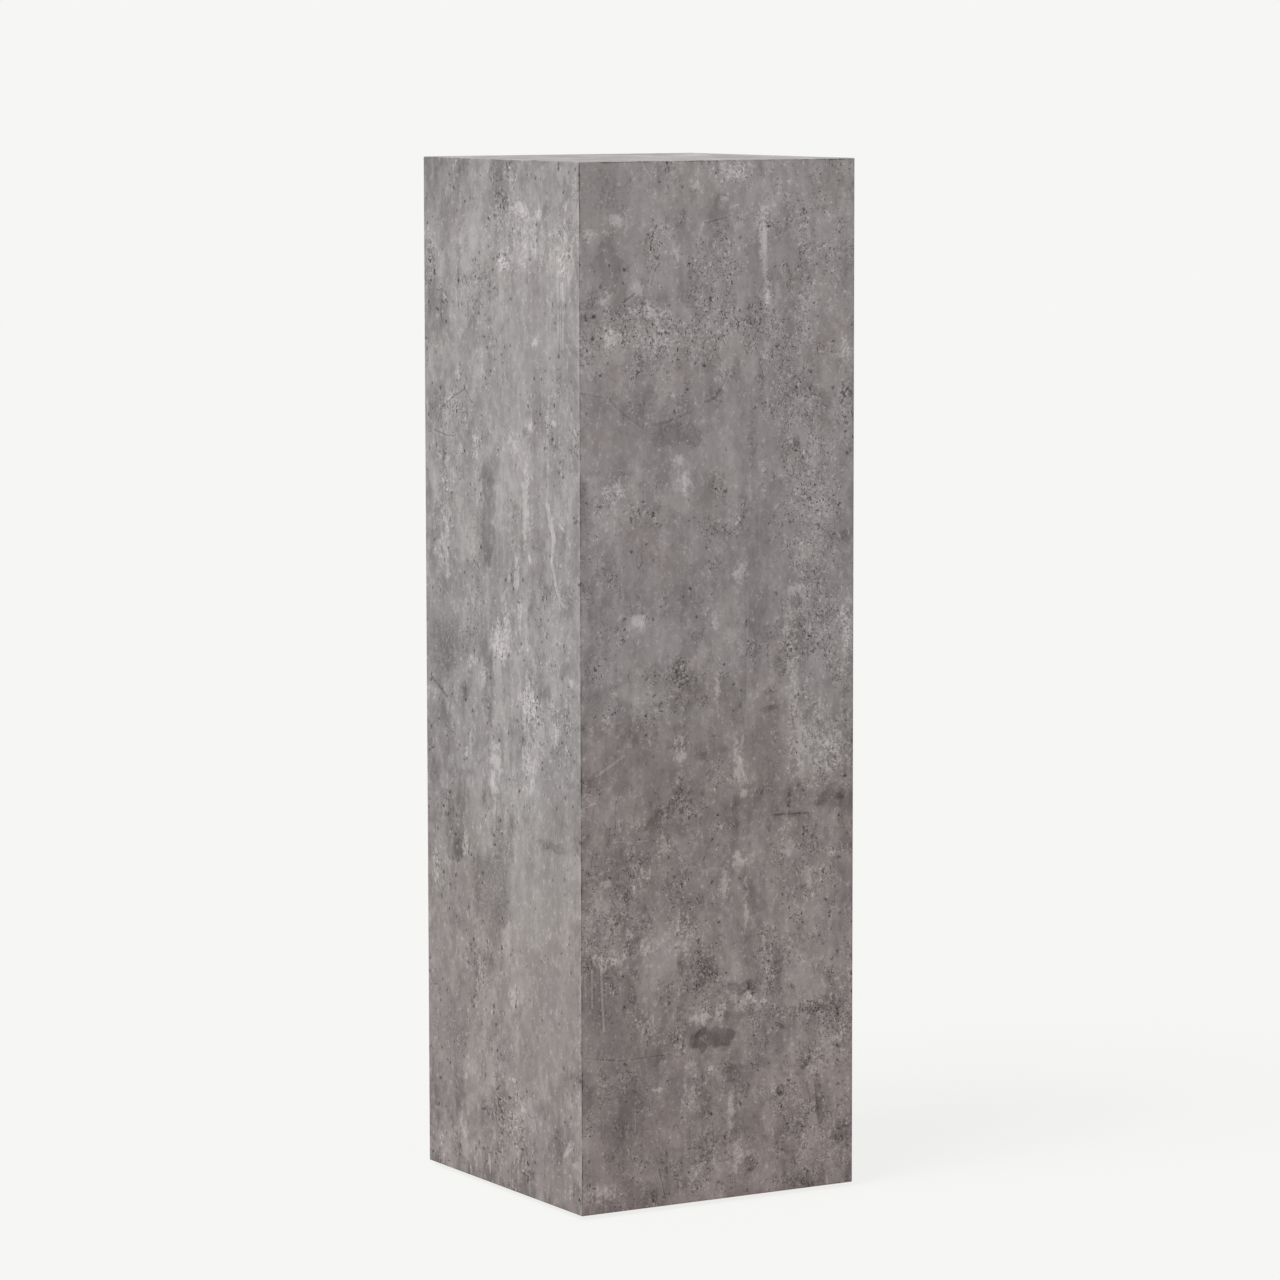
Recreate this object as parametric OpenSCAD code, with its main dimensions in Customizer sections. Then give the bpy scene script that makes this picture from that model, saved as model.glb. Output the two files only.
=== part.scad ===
// Pedestal stand: a square box column of mitred boards, covered with a concrete-print laminate.
// The origin is on the floor under the middle of the column. Front is -Y, left is -X, up is +Z.

/* [Pedestal] */
// Overall width, left to right
pedestal_w = 305; // [240:1:600]
// Overall depth, front to back
pedestal_d = 305; // [240:1:600]
// Overall height, from the floor to the top face
pedestal_h = 1000; // [800:1:1400]

/* [Decor laminate] */
// Thickness of the concrete-print laminate
laminate_t = 0.8; // [0.6:0.1:1.5]
// Radius to which the arrises are eased
arris_r = 2; // [0.5:0.1:2]

/* [Boards] */
// Thickness of the four side boards and the top board
panel_t = 15; // [12:1:22]
// Thickness of the base board
base_t = 15; // [15:1:22]
// Gap round the base board, which lifts out once it is unscrewed
base_gap = 0.5; // [0.2:0.1:0.8]
// Thickness of the diaphragm that keeps the long boards flat
diaphragm_t = 15; // [9:1:22]
// Height of the diaphragm's underside above the floor
diaphragm_z = 490; // [200:1:650]
// Gap between the diaphragm's notches and the corner battens
notch_gap = 0.5; // [0.2:0.1:0.8]

/* [Battens and cleats] */
// Side of the square battens in the upright corners
batten_s = 20; // [16:1:30]
// Width of the cleats, measured from the board they are glued to
cleat_w = 20; // [16:1:30]
// Height of the cleats
cleat_h = 22; // [20:1:35]

/* [Screws in the base board] */
// Length of a screw, head included
screw_l = 30; // [24:1:33]
// Diameter of a screw's shank
screw_d = 4; // [3:0.1:5]
// Diameter of a screw's countersunk head
screw_head_d = 8; // [7:0.1:9]
// Width of the cross recess in a screw's head
recess_w = 1.2; // [0.8:0.1:1.5]
// Length of the cross recess's arms, end to end
recess_l = 4.4; // [3.6:0.1:5]
// Depth of the cross recess
recess_depth = 1.2; // [0.8:0.1:1.5]
// Distance from a cleat's end to its nearest screw
screw_from_end = 40; // [25:1:50]
// Gap between a screw and its hole
screw_gap = 0.15; // [0.1:0.05:0.3]

/* [Glides] */
// Height of a glide, which lifts the column off the floor
glide_h = 4; // [3.5:0.5:8]
// Diameter of a glide where it meets the base board
glide_d = 24; // [20:1:28]
// Diameter of the flat face that a glide stands on
glide_foot_d = 18; // [14:1:20]
// Distance from the column's faces to a glide's middle
glide_from_face = 30; // [30:1:45]
// Diameter of the nail head that a glide is moulded on
nail_head_d = 9; // [7:0.5:11]
// Thickness of the nail's head
nail_head_t = 1; // [0.8:0.1:1.4]
// Thickness of the plastic under the nail's head
nail_cover_t = 1.4; // [1:0.1:1.6]
// Diameter of the nail's shank
nail_d = 2; // [1.6:0.1:2.5]
// Length of the nail's shank, point included
nail_l = 13; // [10:0.5:14]
// Length of the nail's point
nail_point_l = 3; // [2:0.5:4]
// Gap between a nail and the glide and board round it
nail_gap = 0.1; // [0.05:0.05:0.2]

/* [Hidden] */
$fn = 48;
// How far a cutting shape reaches past the face that it cuts
past = 1;
// Height of the column's lower edge, and of its sides above that edge
body_z = glide_h;
body_h = pedestal_h - glide_h;
// From a face of the column to the inner side of its board
wall_t = laminate_t + panel_t;
// The clear space between the side boards
inner_w = pedestal_w - 2 * wall_t;
inner_d = pedestal_d - 2 * wall_t;
// Top of the base board, and underside of the top board
base_top_z = body_z + base_t;
ceiling_z = pedestal_h - wall_t;
// Lengths of the cleats, which fit between two battens
cleat_front_l = inner_w - 2 * batten_s;
cleat_side_l = inner_d - 2 * batten_s;
// Underside of the nail's head, inside the glide
nail_head_z = nail_cover_t;
nail_shank_z = nail_head_z + nail_head_t;
// How far a hole runs on past a nail's or screw's point
hole_past_point = 1;

board_brown = [0.66, 0.53, 0.38];
pine = [0.87, 0.74, 0.53];
concrete_lit = [0.60, 0.58, 0.57];
concrete = [0.52, 0.50, 0.49];
zinc = [0.72, 0.73, 0.75];
black_plastic = [0.15, 0.15, 0.16];

// Stands an outline drawn in X and Z upright and extrudes it along Y, from -length/2 to length/2.
module along_y(length) {
    rotate([90, 0, 0])
        linear_extrude(length, center = true)
            children();
}

// Stands an outline drawn in Y and Z upright and extrudes it along X, from -length/2 to length/2.
module along_x(length) {
    rotate([90, 0, 90])
        linear_extrude(length, center = true)
            children();
}

// A rectangle about the origin with four round corners.
module round_cornered(w, d, r) {
    square([w - 2 * r, d], center = true);
    square([w, d - 2 * r], center = true);
    for (x = [-1, 1], y = [-1, 1])
        translate([x * (w / 2 - r), y * (d / 2 - r)])
            circle(r);
}

// The column seen from one side: a rectangle standing on the column's lower edge.
module eased_elevation(w) {
    translate([0, body_z + body_h / 2])
        round_cornered(w, body_h, arris_r);
}

// The column's outer form, eased along all twelve of its arrises.
module eased_column() {
    intersection() {
        translate([0, 0, body_z])
            linear_extrude(body_h)
                round_cornered(pedestal_w, pedestal_d, arris_r);
        along_y(pedestal_d)
            eased_elevation(pedestal_w);
        along_x(pedestal_w)
            eased_elevation(pedestal_d);
    }
}

// A front wall's sheet, inset below the faces of a column w wide and d deep, and t thick.
// Its upright edges and its top edge are mitred at 45 degrees, and its lower edge is square.
module mitred_wall(w, d, inset, t) {
    edge_x = w / 2 - inset;
    face_y = -d / 2 + inset;
    top_z = pedestal_h - inset;
    intersection() {
        translate([0, 0, body_z])
            linear_extrude(body_h)
                polygon([
                    [-edge_x, face_y], [edge_x, face_y],
                    [edge_x - t, face_y + t], [-edge_x + t, face_y + t]
                ]);
        along_x(w)
            polygon([
                [face_y, body_z], [face_y + t, body_z],
                [face_y + t, top_z - t], [face_y, top_z]
            ]);
    }
}

// The top's sheet, inset below the faces and t thick, mitred at 45 degrees on its four edges.
module mitred_top(inset, t) {
    top_z = pedestal_h - inset;
    intersection() {
        along_y(pedestal_d)
            mitred_edge(pedestal_w / 2 - inset, top_z, t);
        along_x(pedestal_w)
            mitred_edge(pedestal_d / 2 - inset, top_z, t);
    }
}

// The outline of a top sheet seen from the side: half_w from its middle to its upper edges.
module mitred_edge(half_w, top_z, t) {
    polygon([
        [-half_w, top_z], [half_w, top_z],
        [half_w - t, top_z - t], [-half_w + t, top_z - t]
    ]);
}

// Puts a wall drawn at the front on another side, a number of quarter turns to the left.
module on_side(quarter_turns) {
    rotate([0, 0, -90 * quarter_turns])
        children();
}

// A wall's sheet on one side of the column, with the arrises that reach it eased.
// The sheets of the front and back are as wide as the column, those of the sides as deep.
module wall_sheet(quarter_turns, inset, t) {
    sideways = quarter_turns % 2 == 1;
    intersection() {
        on_side(quarter_turns)
            mitred_wall(
                sideways ? pedestal_d : pedestal_w,
                sideways ? pedestal_w : pedestal_d,
                inset, t);
        eased_column();
    }
}

module wall_laminate(quarter_turns) {
    wall_sheet(quarter_turns, 0, laminate_t);
}

module wall_panel(quarter_turns) {
    wall_sheet(quarter_turns, laminate_t, panel_t);
}

module front_laminate() { color(concrete) wall_laminate(0); }
module left_laminate() { color(concrete_lit) wall_laminate(1); }
module back_laminate() { color(concrete) wall_laminate(2); }
module right_laminate() { color(concrete) wall_laminate(3); }

module top_laminate() {
    color(concrete_lit)
        intersection() {
            mitred_top(0, laminate_t);
            eased_column();
        }
}

module front_panel() { color(board_brown) wall_panel(0); }
module left_panel() { color(board_brown) wall_panel(1); }
module back_panel() { color(board_brown) wall_panel(2); }
module right_panel() { color(board_brown) wall_panel(3); }
module top_panel() { color(board_brown) mitred_top(laminate_t, panel_t); }

// A batten in an upright corner, from the base board to the top board.
// side_x and side_y are -1 or 1 and say which corner it fills.
module corner_batten(side_x, side_y) {
    color(pine)
        translate([
            side_x * (inner_w - batten_s) / 2,
            side_y * (inner_d - batten_s) / 2,
            base_top_z
        ])
            translate([-batten_s / 2, -batten_s / 2, 0])
                cube([batten_s, batten_s, ceiling_z - base_top_z]);
}

module corner_batten_front_left() { corner_batten(-1, -1); }
module corner_batten_front_right() { corner_batten(1, -1); }
module corner_batten_back_left() { corner_batten(-1, 1); }
module corner_batten_back_right() { corner_batten(1, 1); }

// A cleat along the front board's inner side: length along X, lower face at z.
// room is the clear space between the boards, from the cleat's board to the one across.
module cleat(length, room, z) {
    translate([-length / 2, -room / 2, z])
        cube([length, cleat_w, cleat_h]);
}

// A cleat of the front (0), left (1), back (2) or right (3), with its lower face at z.
module cleat_on(quarter_turns, z) {
    sideways = quarter_turns % 2 == 1;
    on_side(quarter_turns)
        cleat(
            sideways ? cleat_side_l : cleat_front_l,
            sideways ? inner_w : inner_d,
            z);
}

module top_cleat(quarter_turns) {
    color(pine)
        cleat_on(quarter_turns, ceiling_z - cleat_h);
}

module top_cleat_front() { top_cleat(0); }
module top_cleat_left() { top_cleat(1); }
module top_cleat_back() { top_cleat(2); }
module top_cleat_right() { top_cleat(3); }

// A square-cut board across the column, notched round the four battens.
module diaphragm() {
    notch = batten_s + notch_gap;
    color(board_brown)
        translate([0, 0, diaphragm_z])
            linear_extrude(diaphragm_t)
                difference() {
                    square([inner_w, inner_d], center = true);
                    for (x = [-1, 1], y = [-1, 1])
                        translate([x * inner_w / 2, y * inner_d / 2])
                            square(2 * notch, center = true);
                }
}

// Puts two screws, or their holes, in each of the four base cleats.
module at_base_screws() {
    for (turn = [0 : 3]) {
        sideways = turn % 2 == 1;
        length = sideways ? cleat_side_l : cleat_front_l;
        room = sideways ? inner_w : inner_d;
        on_side(turn)
            for (x = [-1, 1])
                translate([x * (length / 2 - screw_from_end), -(room - cleat_w) / 2, body_z])
                    children();
    }
}

// A countersunk screw standing on its head, with gap added all round for its hole.
// The head narrows at 45 degrees down to the shank.
module screw_form(gap) {
    head_r = screw_head_d / 2 + gap;
    shank_r = screw_d / 2 + gap;
    cylinder(r = shank_r, h = screw_l + (gap > 0 ? hole_past_point : 0));
    cylinder(r1 = head_r, r2 = shank_r, h = head_r - shank_r);
}

module base_screw() {
    difference() {
        screw_form(0);
        for (turn = [0, 90])
            rotate([0, 0, turn])
                translate([-recess_l / 2, -recess_w / 2, -past])
                    cube([recess_l, recess_w, recess_depth + past]);
    }
}

// The hole for a screw, open below so that its head sits flush.
module screw_hole() {
    screw_form(screw_gap);
    translate([0, 0, -past])
        cylinder(r = screw_head_d / 2 + screw_gap, h = past);
}

module base_screws() {
    color(zinc)
        at_base_screws()
            base_screw();
}

module base_cleat(quarter_turns) {
    color(pine)
        difference() {
            cleat_on(quarter_turns, base_top_z);
            at_base_screws()
                screw_hole();
        }
}

module base_cleat_front() { base_cleat(0); }
module base_cleat_left() { base_cleat(1); }
module base_cleat_back() { base_cleat(2); }
module base_cleat_right() { base_cleat(3); }

// Moves a glide or nail to its corner. side_x and side_y are -1 or 1.
module at_glide(side_x, side_y) {
    translate([
        side_x * (pedestal_w / 2 - glide_from_face),
        side_y * (pedestal_d / 2 - glide_from_face),
        0
    ])
        children();
}

module base_board() {
    color(board_brown)
        difference() {
            translate([0, 0, body_z])
                linear_extrude(base_t)
                    square([inner_w - 2 * base_gap, inner_d - 2 * base_gap], center = true);
            at_base_screws()
                screw_hole();
            for (x = [-1, 1], y = [-1, 1])
                at_glide(x, y)
                    translate([0, 0, body_z - past])
                        cylinder(
                            d = nail_d + 2 * nail_gap,
                            h = nail_shank_z + nail_l + hole_past_point - body_z + past);
        }
}

// A glide: a low cone with a flat foot, hollow inside where the nail's head is moulded in.
module glide(side_x, side_y) {
    color(black_plastic)
        at_glide(side_x, side_y)
            difference() {
                cylinder(d1 = glide_foot_d, d2 = glide_d, h = glide_h);
                translate([0, 0, nail_head_z - nail_gap])
                    cylinder(d = nail_head_d + 2 * nail_gap, h = nail_head_t + 2 * nail_gap);
                translate([0, 0, nail_shank_z])
                    cylinder(d = nail_d + 2 * nail_gap, h = glide_h);
            }
}

module glide_front_left() { glide(-1, -1); }
module glide_front_right() { glide(1, -1); }
module glide_back_left() { glide(-1, 1); }
module glide_back_right() { glide(1, 1); }

// A nail standing on its head, with a conical point.
module nail() {
    cylinder(d = nail_head_d, h = nail_head_t);
    translate([0, 0, nail_head_t])
        cylinder(d = nail_d, h = nail_l - nail_point_l);
    translate([0, 0, nail_head_t + nail_l - nail_point_l])
        cylinder(d1 = nail_d, d2 = 0, h = nail_point_l);
}

module glide_nails() {
    color(zinc)
        for (x = [-1, 1], y = [-1, 1])
            at_glide(x, y)
                translate([0, 0, nail_head_z])
                    nail();
}

front_laminate();
right_laminate();
back_laminate();
left_laminate();
top_laminate();
front_panel();
right_panel();
back_panel();
left_panel();
top_panel();
corner_batten_front_left();
corner_batten_front_right();
corner_batten_back_left();
corner_batten_back_right();
top_cleat_front();
top_cleat_right();
top_cleat_back();
top_cleat_left();
diaphragm();
base_cleat_front();
base_cleat_right();
base_cleat_back();
base_cleat_left();
base_board();
base_screws();
glide_front_left();
glide_front_right();
glide_back_left();
glide_back_right();
glide_nails();
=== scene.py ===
"""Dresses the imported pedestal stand: a mitred board box covered with concrete-print laminate.

The five laminate sheets are rebuilt as closed surfaces that carry the print as attributes, and every
other node keeps its mesh and gets its own finish. Sizes are in metres, and the print's in millimetres.
"""

import logging
import math
from dataclasses import dataclass, field
from enum import Enum, IntEnum

import bpy
import numpy as np
from mathutils import Euler, Matrix, Vector


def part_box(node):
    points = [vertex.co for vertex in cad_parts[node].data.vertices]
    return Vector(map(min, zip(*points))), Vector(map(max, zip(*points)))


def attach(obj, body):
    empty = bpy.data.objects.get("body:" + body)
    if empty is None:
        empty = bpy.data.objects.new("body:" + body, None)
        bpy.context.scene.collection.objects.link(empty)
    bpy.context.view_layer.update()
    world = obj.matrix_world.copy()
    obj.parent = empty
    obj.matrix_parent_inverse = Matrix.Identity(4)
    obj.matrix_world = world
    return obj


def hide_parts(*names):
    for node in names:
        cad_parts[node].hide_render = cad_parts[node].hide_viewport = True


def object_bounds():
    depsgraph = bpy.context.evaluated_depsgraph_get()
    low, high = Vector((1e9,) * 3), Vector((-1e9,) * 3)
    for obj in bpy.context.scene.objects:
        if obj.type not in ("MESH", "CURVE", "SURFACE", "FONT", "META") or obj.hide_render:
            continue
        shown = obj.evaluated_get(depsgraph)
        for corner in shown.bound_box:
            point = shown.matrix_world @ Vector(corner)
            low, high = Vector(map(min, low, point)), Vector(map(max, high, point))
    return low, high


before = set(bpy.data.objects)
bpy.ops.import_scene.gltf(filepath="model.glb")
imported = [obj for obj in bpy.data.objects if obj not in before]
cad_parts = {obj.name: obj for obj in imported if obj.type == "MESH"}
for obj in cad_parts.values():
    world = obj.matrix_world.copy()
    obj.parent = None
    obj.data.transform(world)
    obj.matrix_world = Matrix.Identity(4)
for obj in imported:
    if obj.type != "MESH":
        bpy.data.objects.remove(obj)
cad_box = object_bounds()

MM = 0.001
FACE_W, FACE_D, FACE_H = (round((high - low) / MM) for low, high in zip(*cad_box))
log = logging.getLogger("pedestal")

# Red, green, blue and alpha
Colour = tuple[float, float, float, float]
# A share for each of X, Y and Z
Shares = tuple[float, float, float]
# Size in mm, detail and roughness of a noise
Grit = tuple[float, float, float]
# Where a mask starts and ends its smooth rise from 0 to 1
Edge = tuple[float, float]


class Grain(Enum):
    """The way that the grain of a piece of softwood runs."""

    ALONG_X = "x"
    ALONG_Y = "y"
    UPRIGHT = "z"


class SheetEnd(Enum):
    """How a laminate sheet ends: mitred against its neighbour, or run out to nothing at the floor."""

    MITRED = "mitred"
    FEATHERED = "feathered"


class Layer(IntEnum):
    """Where each field's noises begin among the seeds of a face, so that no two fields share one."""

    BEND_ACROSS = 1
    BEND_UP = 3
    CLOUDS = 10
    STREAKS = 20
    SMALL_FILM = 30
    LARGE_FILM = 35
    GRAIN = 40
    WARMTH = 50
    OCHRE = 51
    RUB = 60


@dataclass(frozen=True)
class Blot:
    """A soft spot of the print, in millimetres on its face as seen from outside.

    across is measured from the left edge of the face and up from the floor, or from the front edge on
    the top. tilt leans the spot to the right, in degrees. corner is 2 for an ellipse and more for a
    squarer spot, and edge is higher for a harder border.
    """

    across: float
    up: float
    half_w: float
    half_h: float
    strength: float = 1.0
    tilt: float = 0.0
    corner: float = 2.0
    edge: float = 1.3

    @classmethod
    def table(cls, *rows: tuple[float, ...]) -> "tuple[Blot, ...]":
        """Spots from rows of numbers, in the order of the fields."""
        return tuple(cls(*row) for row in rows)


@dataclass(frozen=True)
class Trail:
    """A thin line of the print through points (across, up), pale where ink is positive, else dark."""

    points: tuple[tuple[float, float], ...]
    ink: float
    width: float

    @classmethod
    def table(cls, *rows: tuple[float, ...]) -> "tuple[Trail, ...]":
        """Lines from rows of ink, width, and then across and up for each point."""
        return tuple(cls(tuple(zip(row[2::2], row[3::2])), *row[:2]) for row in rows)


@dataclass(frozen=True)
class FacePrint:
    """What is printed on one face: where its spots and lines lie, and how its tones run.

    Tones are shares of the base colour. top_to_floor darkens a wall towards the floor, partly as the
    print's own fall and partly as painted shade, and on the top it lightens the print towards the front
    edge as a painted sheen. warm_from and ochre_from say how far down the face, as a share of its height,
    the warmer tint and the yellow veil begin. The four edge values draw a thin line along each edge,
    dark where they are negative: partly wear and the dark core at a mitre, partly painted highlights
    and painted shade lines.
    """

    seed: int
    pale: tuple[Blot, ...] = ()
    stains: tuple[Blot, ...] = ()
    pitted: tuple[Blot, ...] = ()
    smooth: tuple[Blot, ...] = ()
    shades: tuple[Blot, ...] = ()
    trails: tuple[Trail, ...] = ()
    lightness: float = 0.0
    warmth: float = 0.0
    top_to_floor: float = -0.10
    warmer_to_floor: float = 0.6
    warm_from: float = 0.45
    ochre_from: float = 0.50
    contrast: float = 1.0
    streaky: float = 1.0
    graininess: float = 0.4
    rub_left: float = 0.06
    rub_right: float = 0.06
    rub_far: float = 0.05
    rub_near: float = 0.0


class LatticeNoise:
    """Gradient noise on a square lattice, the same each time for one seed."""

    SIZE = 97
    SPREAD = 0.27

    def __init__(self, seed: int) -> None:
        """Draws one gradient for each lattice point."""
        angle = np.random.default_rng(seed).uniform(0, 2 * math.pi, (self.SIZE, self.SIZE))
        self.gradient_x = np.cos(angle)
        self.gradient_y = np.sin(angle)

    def at(self, x: np.ndarray, y: np.ndarray) -> np.ndarray:
        """Noise at points given in lattice cells.

        Each corner of a point's cell gives the dot product of its gradient with the way to the point.
        The four are blended by 6t^5 - 15t^4 + 10t^3 across and up, and divided by their usual spread.

        Args:
            x: How far across, in cells.
            y: How far up, in cells.

        Returns:
            Values about 0 with a spread of about 1.
        """
        cell_x = np.floor(x).astype(int)
        cell_y = np.floor(y).astype(int)
        in_x = x - cell_x
        in_y = y - cell_y
        fade_x = in_x ** 3 * (in_x * (in_x * 6 - 15) + 10)
        fade_y = in_y ** 3 * (in_y * (in_y * 6 - 15) + 10)
        rows = []
        for step_y in (0, 1):
            corners = []
            for step_x in (0, 1):
                key = ((cell_x + step_x) % self.SIZE, (cell_y + step_y) % self.SIZE)
                corners.append(
                    self.gradient_x[key] * (in_x - step_x) + self.gradient_y[key] * (in_y - step_y))
            rows.append(corners[0] + fade_x * (corners[1] - corners[0]))
        return (rows[0] + fade_y * (rows[1] - rows[0])) / self.SPREAD


@dataclass(frozen=True)
class Wave:
    """One octave of a face's noise: how wide and tall its waves are, in mm, and how strong."""

    wide: float
    tall: float
    level: float


def smooth_step(low: float, high: float, value: np.ndarray) -> np.ndarray:
    """Goes from 0 at low to 1 at high as 3t^2 - 2t^3."""
    t = np.clip((value - low) / (high - low), 0, 1)
    return t * t * (3 - 2 * t)


class PrintFields:
    """Works out a face's print at every point of its sheet, as smooth fields for the finish."""

    SEEDS_A_FACE = 100
    BENDS_ACROSS = (Wave(30, 30, 2.6), Wave(9, 9, 2.0))
    BENDS_UP = (Wave(34, 34, 3.6), Wave(10, 10, 2.6))
    FULLY_BENT = 13.0
    CLOUDS = (Wave(12, 18, 0.034), Wave(24, 36, 0.050), Wave(48, 72, 0.036), Wave(96, 144, 0.016))
    STREAKS = (Wave(4.5, 50, 0.030), Wave(7, 90, 0.030), Wave(13, 150, 0.036))
    STREAKS_FADE = 0.6
    CALM_TONE = 0.5
    SMALL_FILMS = (Wave(12, 20.4, 0.8), Wave(26, 44.2, 0.7))
    LARGE_FILMS = (Wave(34, 57.8, 0.8), Wave(70, 119, 0.6))
    CALM_FILM = 0.8
    GRAIN_DRIFT = (Wave(70, 98, 0.20), Wave(24, 28.8, 0.22))
    GRAIN_MARKED = 0.8
    GRAIN_RANGE = (-0.4, 1.4)
    WARMTH_DRIFT = (Wave(130, 169, 0.05),)
    OCHRE_DRIFT = (Wave(60, 78, 0.15),)
    OCHRE_REACH = 0.17
    RUB_PATCHES = (Wave(16, 16, 0.25), Wave(5, 5, 0.15))
    RUB_EVEN = 0.75
    FAR_FROM_TRAIL = 6.0
    BESIDE_TRAIL = 2.3

    def __init__(self, face: FacePrint, across: np.ndarray, up: np.ndarray) -> None:
        """Keeps the points and bends their places a little, so that no border runs straight.

        Args:
            face: What is printed.
            across: Distance of each point from the face's left edge, in mm.
            up: Height of each point, in mm.
        """
        self.face = face
        self.across = across
        self.up = up
        self.down = 1 - up / up.max()
        self.bent_across = across + self.noise(Layer.BEND_ACROSS, self.BENDS_ACROSS)
        self.bent_up = up + self.noise(Layer.BEND_UP, self.BENDS_UP)

    def noise(self, layer: Layer, waves: tuple[Wave, ...], bent: bool = False) -> np.ndarray:
        """Sum of octaves of noise, each from its own seed.

        Args:
            layer: Whose seeds they take.
            waves: The octaves.
            bent: Whether they run on the bent coordinates, which gives them torn outlines.

        Returns:
            The sum at every point.
        """
        across, up = (self.bent_across, self.bent_up) if bent else (self.across, self.up)
        total = np.zeros_like(across)
        for index, wave in enumerate(waves):
            octave = LatticeNoise(self.face.seed * self.SEEDS_A_FACE + layer + index)
            total += wave.level * octave.at(across / wave.wide, up / wave.tall)
        return total

    def spots(self, blots: tuple[Blot, ...]) -> np.ndarray:
        """Sum of the spots: each is strength times exp(-q^edge), with q the superellipse of its sizes.

        A spot with a half size under FULLY_BENT is bent by its share of that, so that it keeps its place.
        """
        level = np.zeros_like(self.across)
        for blot in blots:
            lean = math.radians(blot.tilt)
            bend = min(1.0, min(blot.half_w, blot.half_h) / self.FULLY_BENT)
            dx = self.across + bend * (self.bent_across - self.across) - blot.across
            dy = self.up + bend * (self.bent_up - self.up) - blot.up
            side = np.abs(dx * math.cos(lean) - dy * math.sin(lean)) / blot.half_w
            rise = np.abs(dx * math.sin(lean) + dy * math.cos(lean)) / blot.half_h
            level += blot.strength * np.exp(-(side ** blot.corner + rise ** blot.corner) ** blot.edge)
        return level

    def calm(self) -> np.ndarray:
        """How far the print is left alone, from 1 in a smooth spot to 0 elsewhere."""
        return np.clip(self.spots(self.face.smooth), 0, 1)

    def tone(self) -> np.ndarray:
        """Soft tones: clouds, upright streaks that fade downwards, shades and the fall to the floor, which is
        partly the print's own and partly painted shade (on the top, a painted sheen towards the front).
        """
        clouds = self.noise(Layer.CLOUDS, self.CLOUDS, bent=True)
        streaks = self.noise(Layer.STREAKS, self.STREAKS) * (1 - self.STREAKS_FADE * self.down)
        soft = (clouds + self.face.streaky * streaks) * (1 - self.CALM_TONE * self.calm())
        # The fall to the floor is partly the print's own darkening and partly painted shade.
        fall = self.face.lightness + self.face.top_to_floor * self.down
        return self.face.contrast * soft + self.spots(self.face.shades) + fall

    def film(self, layer: Layer, waves: tuple[Wave, ...]) -> np.ndarray:
        """A field that the finish cuts into terraces: a sum of clouds, flattened in smooth spots."""
        return self.noise(layer, waves, bent=True) * (1 - self.CALM_FILM * self.calm())

    def graininess(self) -> np.ndarray:
        """How granular the print is, from 0 where it is smooth to over 1 in a pitted zone."""
        drift = self.noise(Layer.GRAIN, self.GRAIN_DRIFT, bent=True)
        marked = self.GRAIN_MARKED * (self.spots(self.face.pitted) - self.calm())
        return np.clip(self.face.graininess + drift + marked, *self.GRAIN_RANGE)

    def warmth(self) -> np.ndarray:
        """How warm the tint is, from 0 for the cool grey: it warms below warm_from."""
        warmed = smooth_step(self.face.warm_from, 1.0, self.down)
        drift = self.noise(Layer.WARMTH, self.WARMTH_DRIFT)
        return self.face.warmth + drift + self.face.warmer_to_floor * warmed

    def ochre(self) -> np.ndarray:
        """The yellow veil, from 0 above ochre_from to 1 a little below it."""
        start = self.face.ochre_from
        return smooth_step(start, start + self.OCHRE_REACH, self.down) + self.noise(
            Layer.OCHRE, self.OCHRE_DRIFT)

    def rub(self) -> np.ndarray:
        """Thin lines along the edges, partly wear and partly painted highlights and painted shade lines:
        their strength times exp(-(distance / 1 mm)^2), in patches.
        """
        edges = (
            (self.face.rub_left, self.across - self.across.min()),
            (self.face.rub_right, self.across.max() - self.across),
            (self.face.rub_far, self.up.max() - self.up),
            (self.face.rub_near, self.up - self.up.min()))
        patches = self.RUB_EVEN + self.noise(Layer.RUB, self.RUB_PATCHES)
        return patches * sum(strength * np.exp(-away ** 2) for strength, away in edges)

    def trails(self) -> dict[str, np.ndarray]:
        """Where each point lies beside the nearest line, with that line's half width and ink.

        The side is the distance to the left of a stretch of line, which is even across it, so that a
        line narrower than the sheet's grid stays sharp. Past is how far the point lies beyond the
        stretch's ends, and it is set far off wherever the next line may be as near.

        Returns:
            The fields by name, with distances in mm.
        """
        nearest = np.full_like(self.across, self.FAR_FROM_TRAIL)
        past = np.full_like(self.across, self.FAR_FROM_TRAIL)
        side, half, ink = (np.zeros_like(self.across) for _ in range(3))
        for trail in self.face.trails:
            for (x0, y0), (x1, y1) in zip(trail.points, trail.points[1:]):
                length = math.hypot(x1 - x0, y1 - y0)
                way_x, way_y = (x1 - x0) / length, (y1 - y0) / length
                along = (self.across - x0) * way_x + (self.up - y0) * way_y
                beside = (self.up - y0) * way_x - (self.across - x0) * way_y
                beyond = np.clip(np.maximum(-along, along - length), 0, None)
                away = np.hypot(beside, beyond) - trail.width / 2
                closer = away < nearest
                nearest = np.where(closer, away, nearest)
                side = np.where(closer, beside, side)
                past = np.where(closer, beyond, past)
                half = np.where(closer, trail.width / 2, half)
                ink = np.where(closer, trail.ink, ink)
        past = np.where(nearest > self.BESIDE_TRAIL, self.FAR_FROM_TRAIL, past)
        return {"trail_side": side, "trail_past": past, "trail_half": half, "trail_ink": ink}

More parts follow.
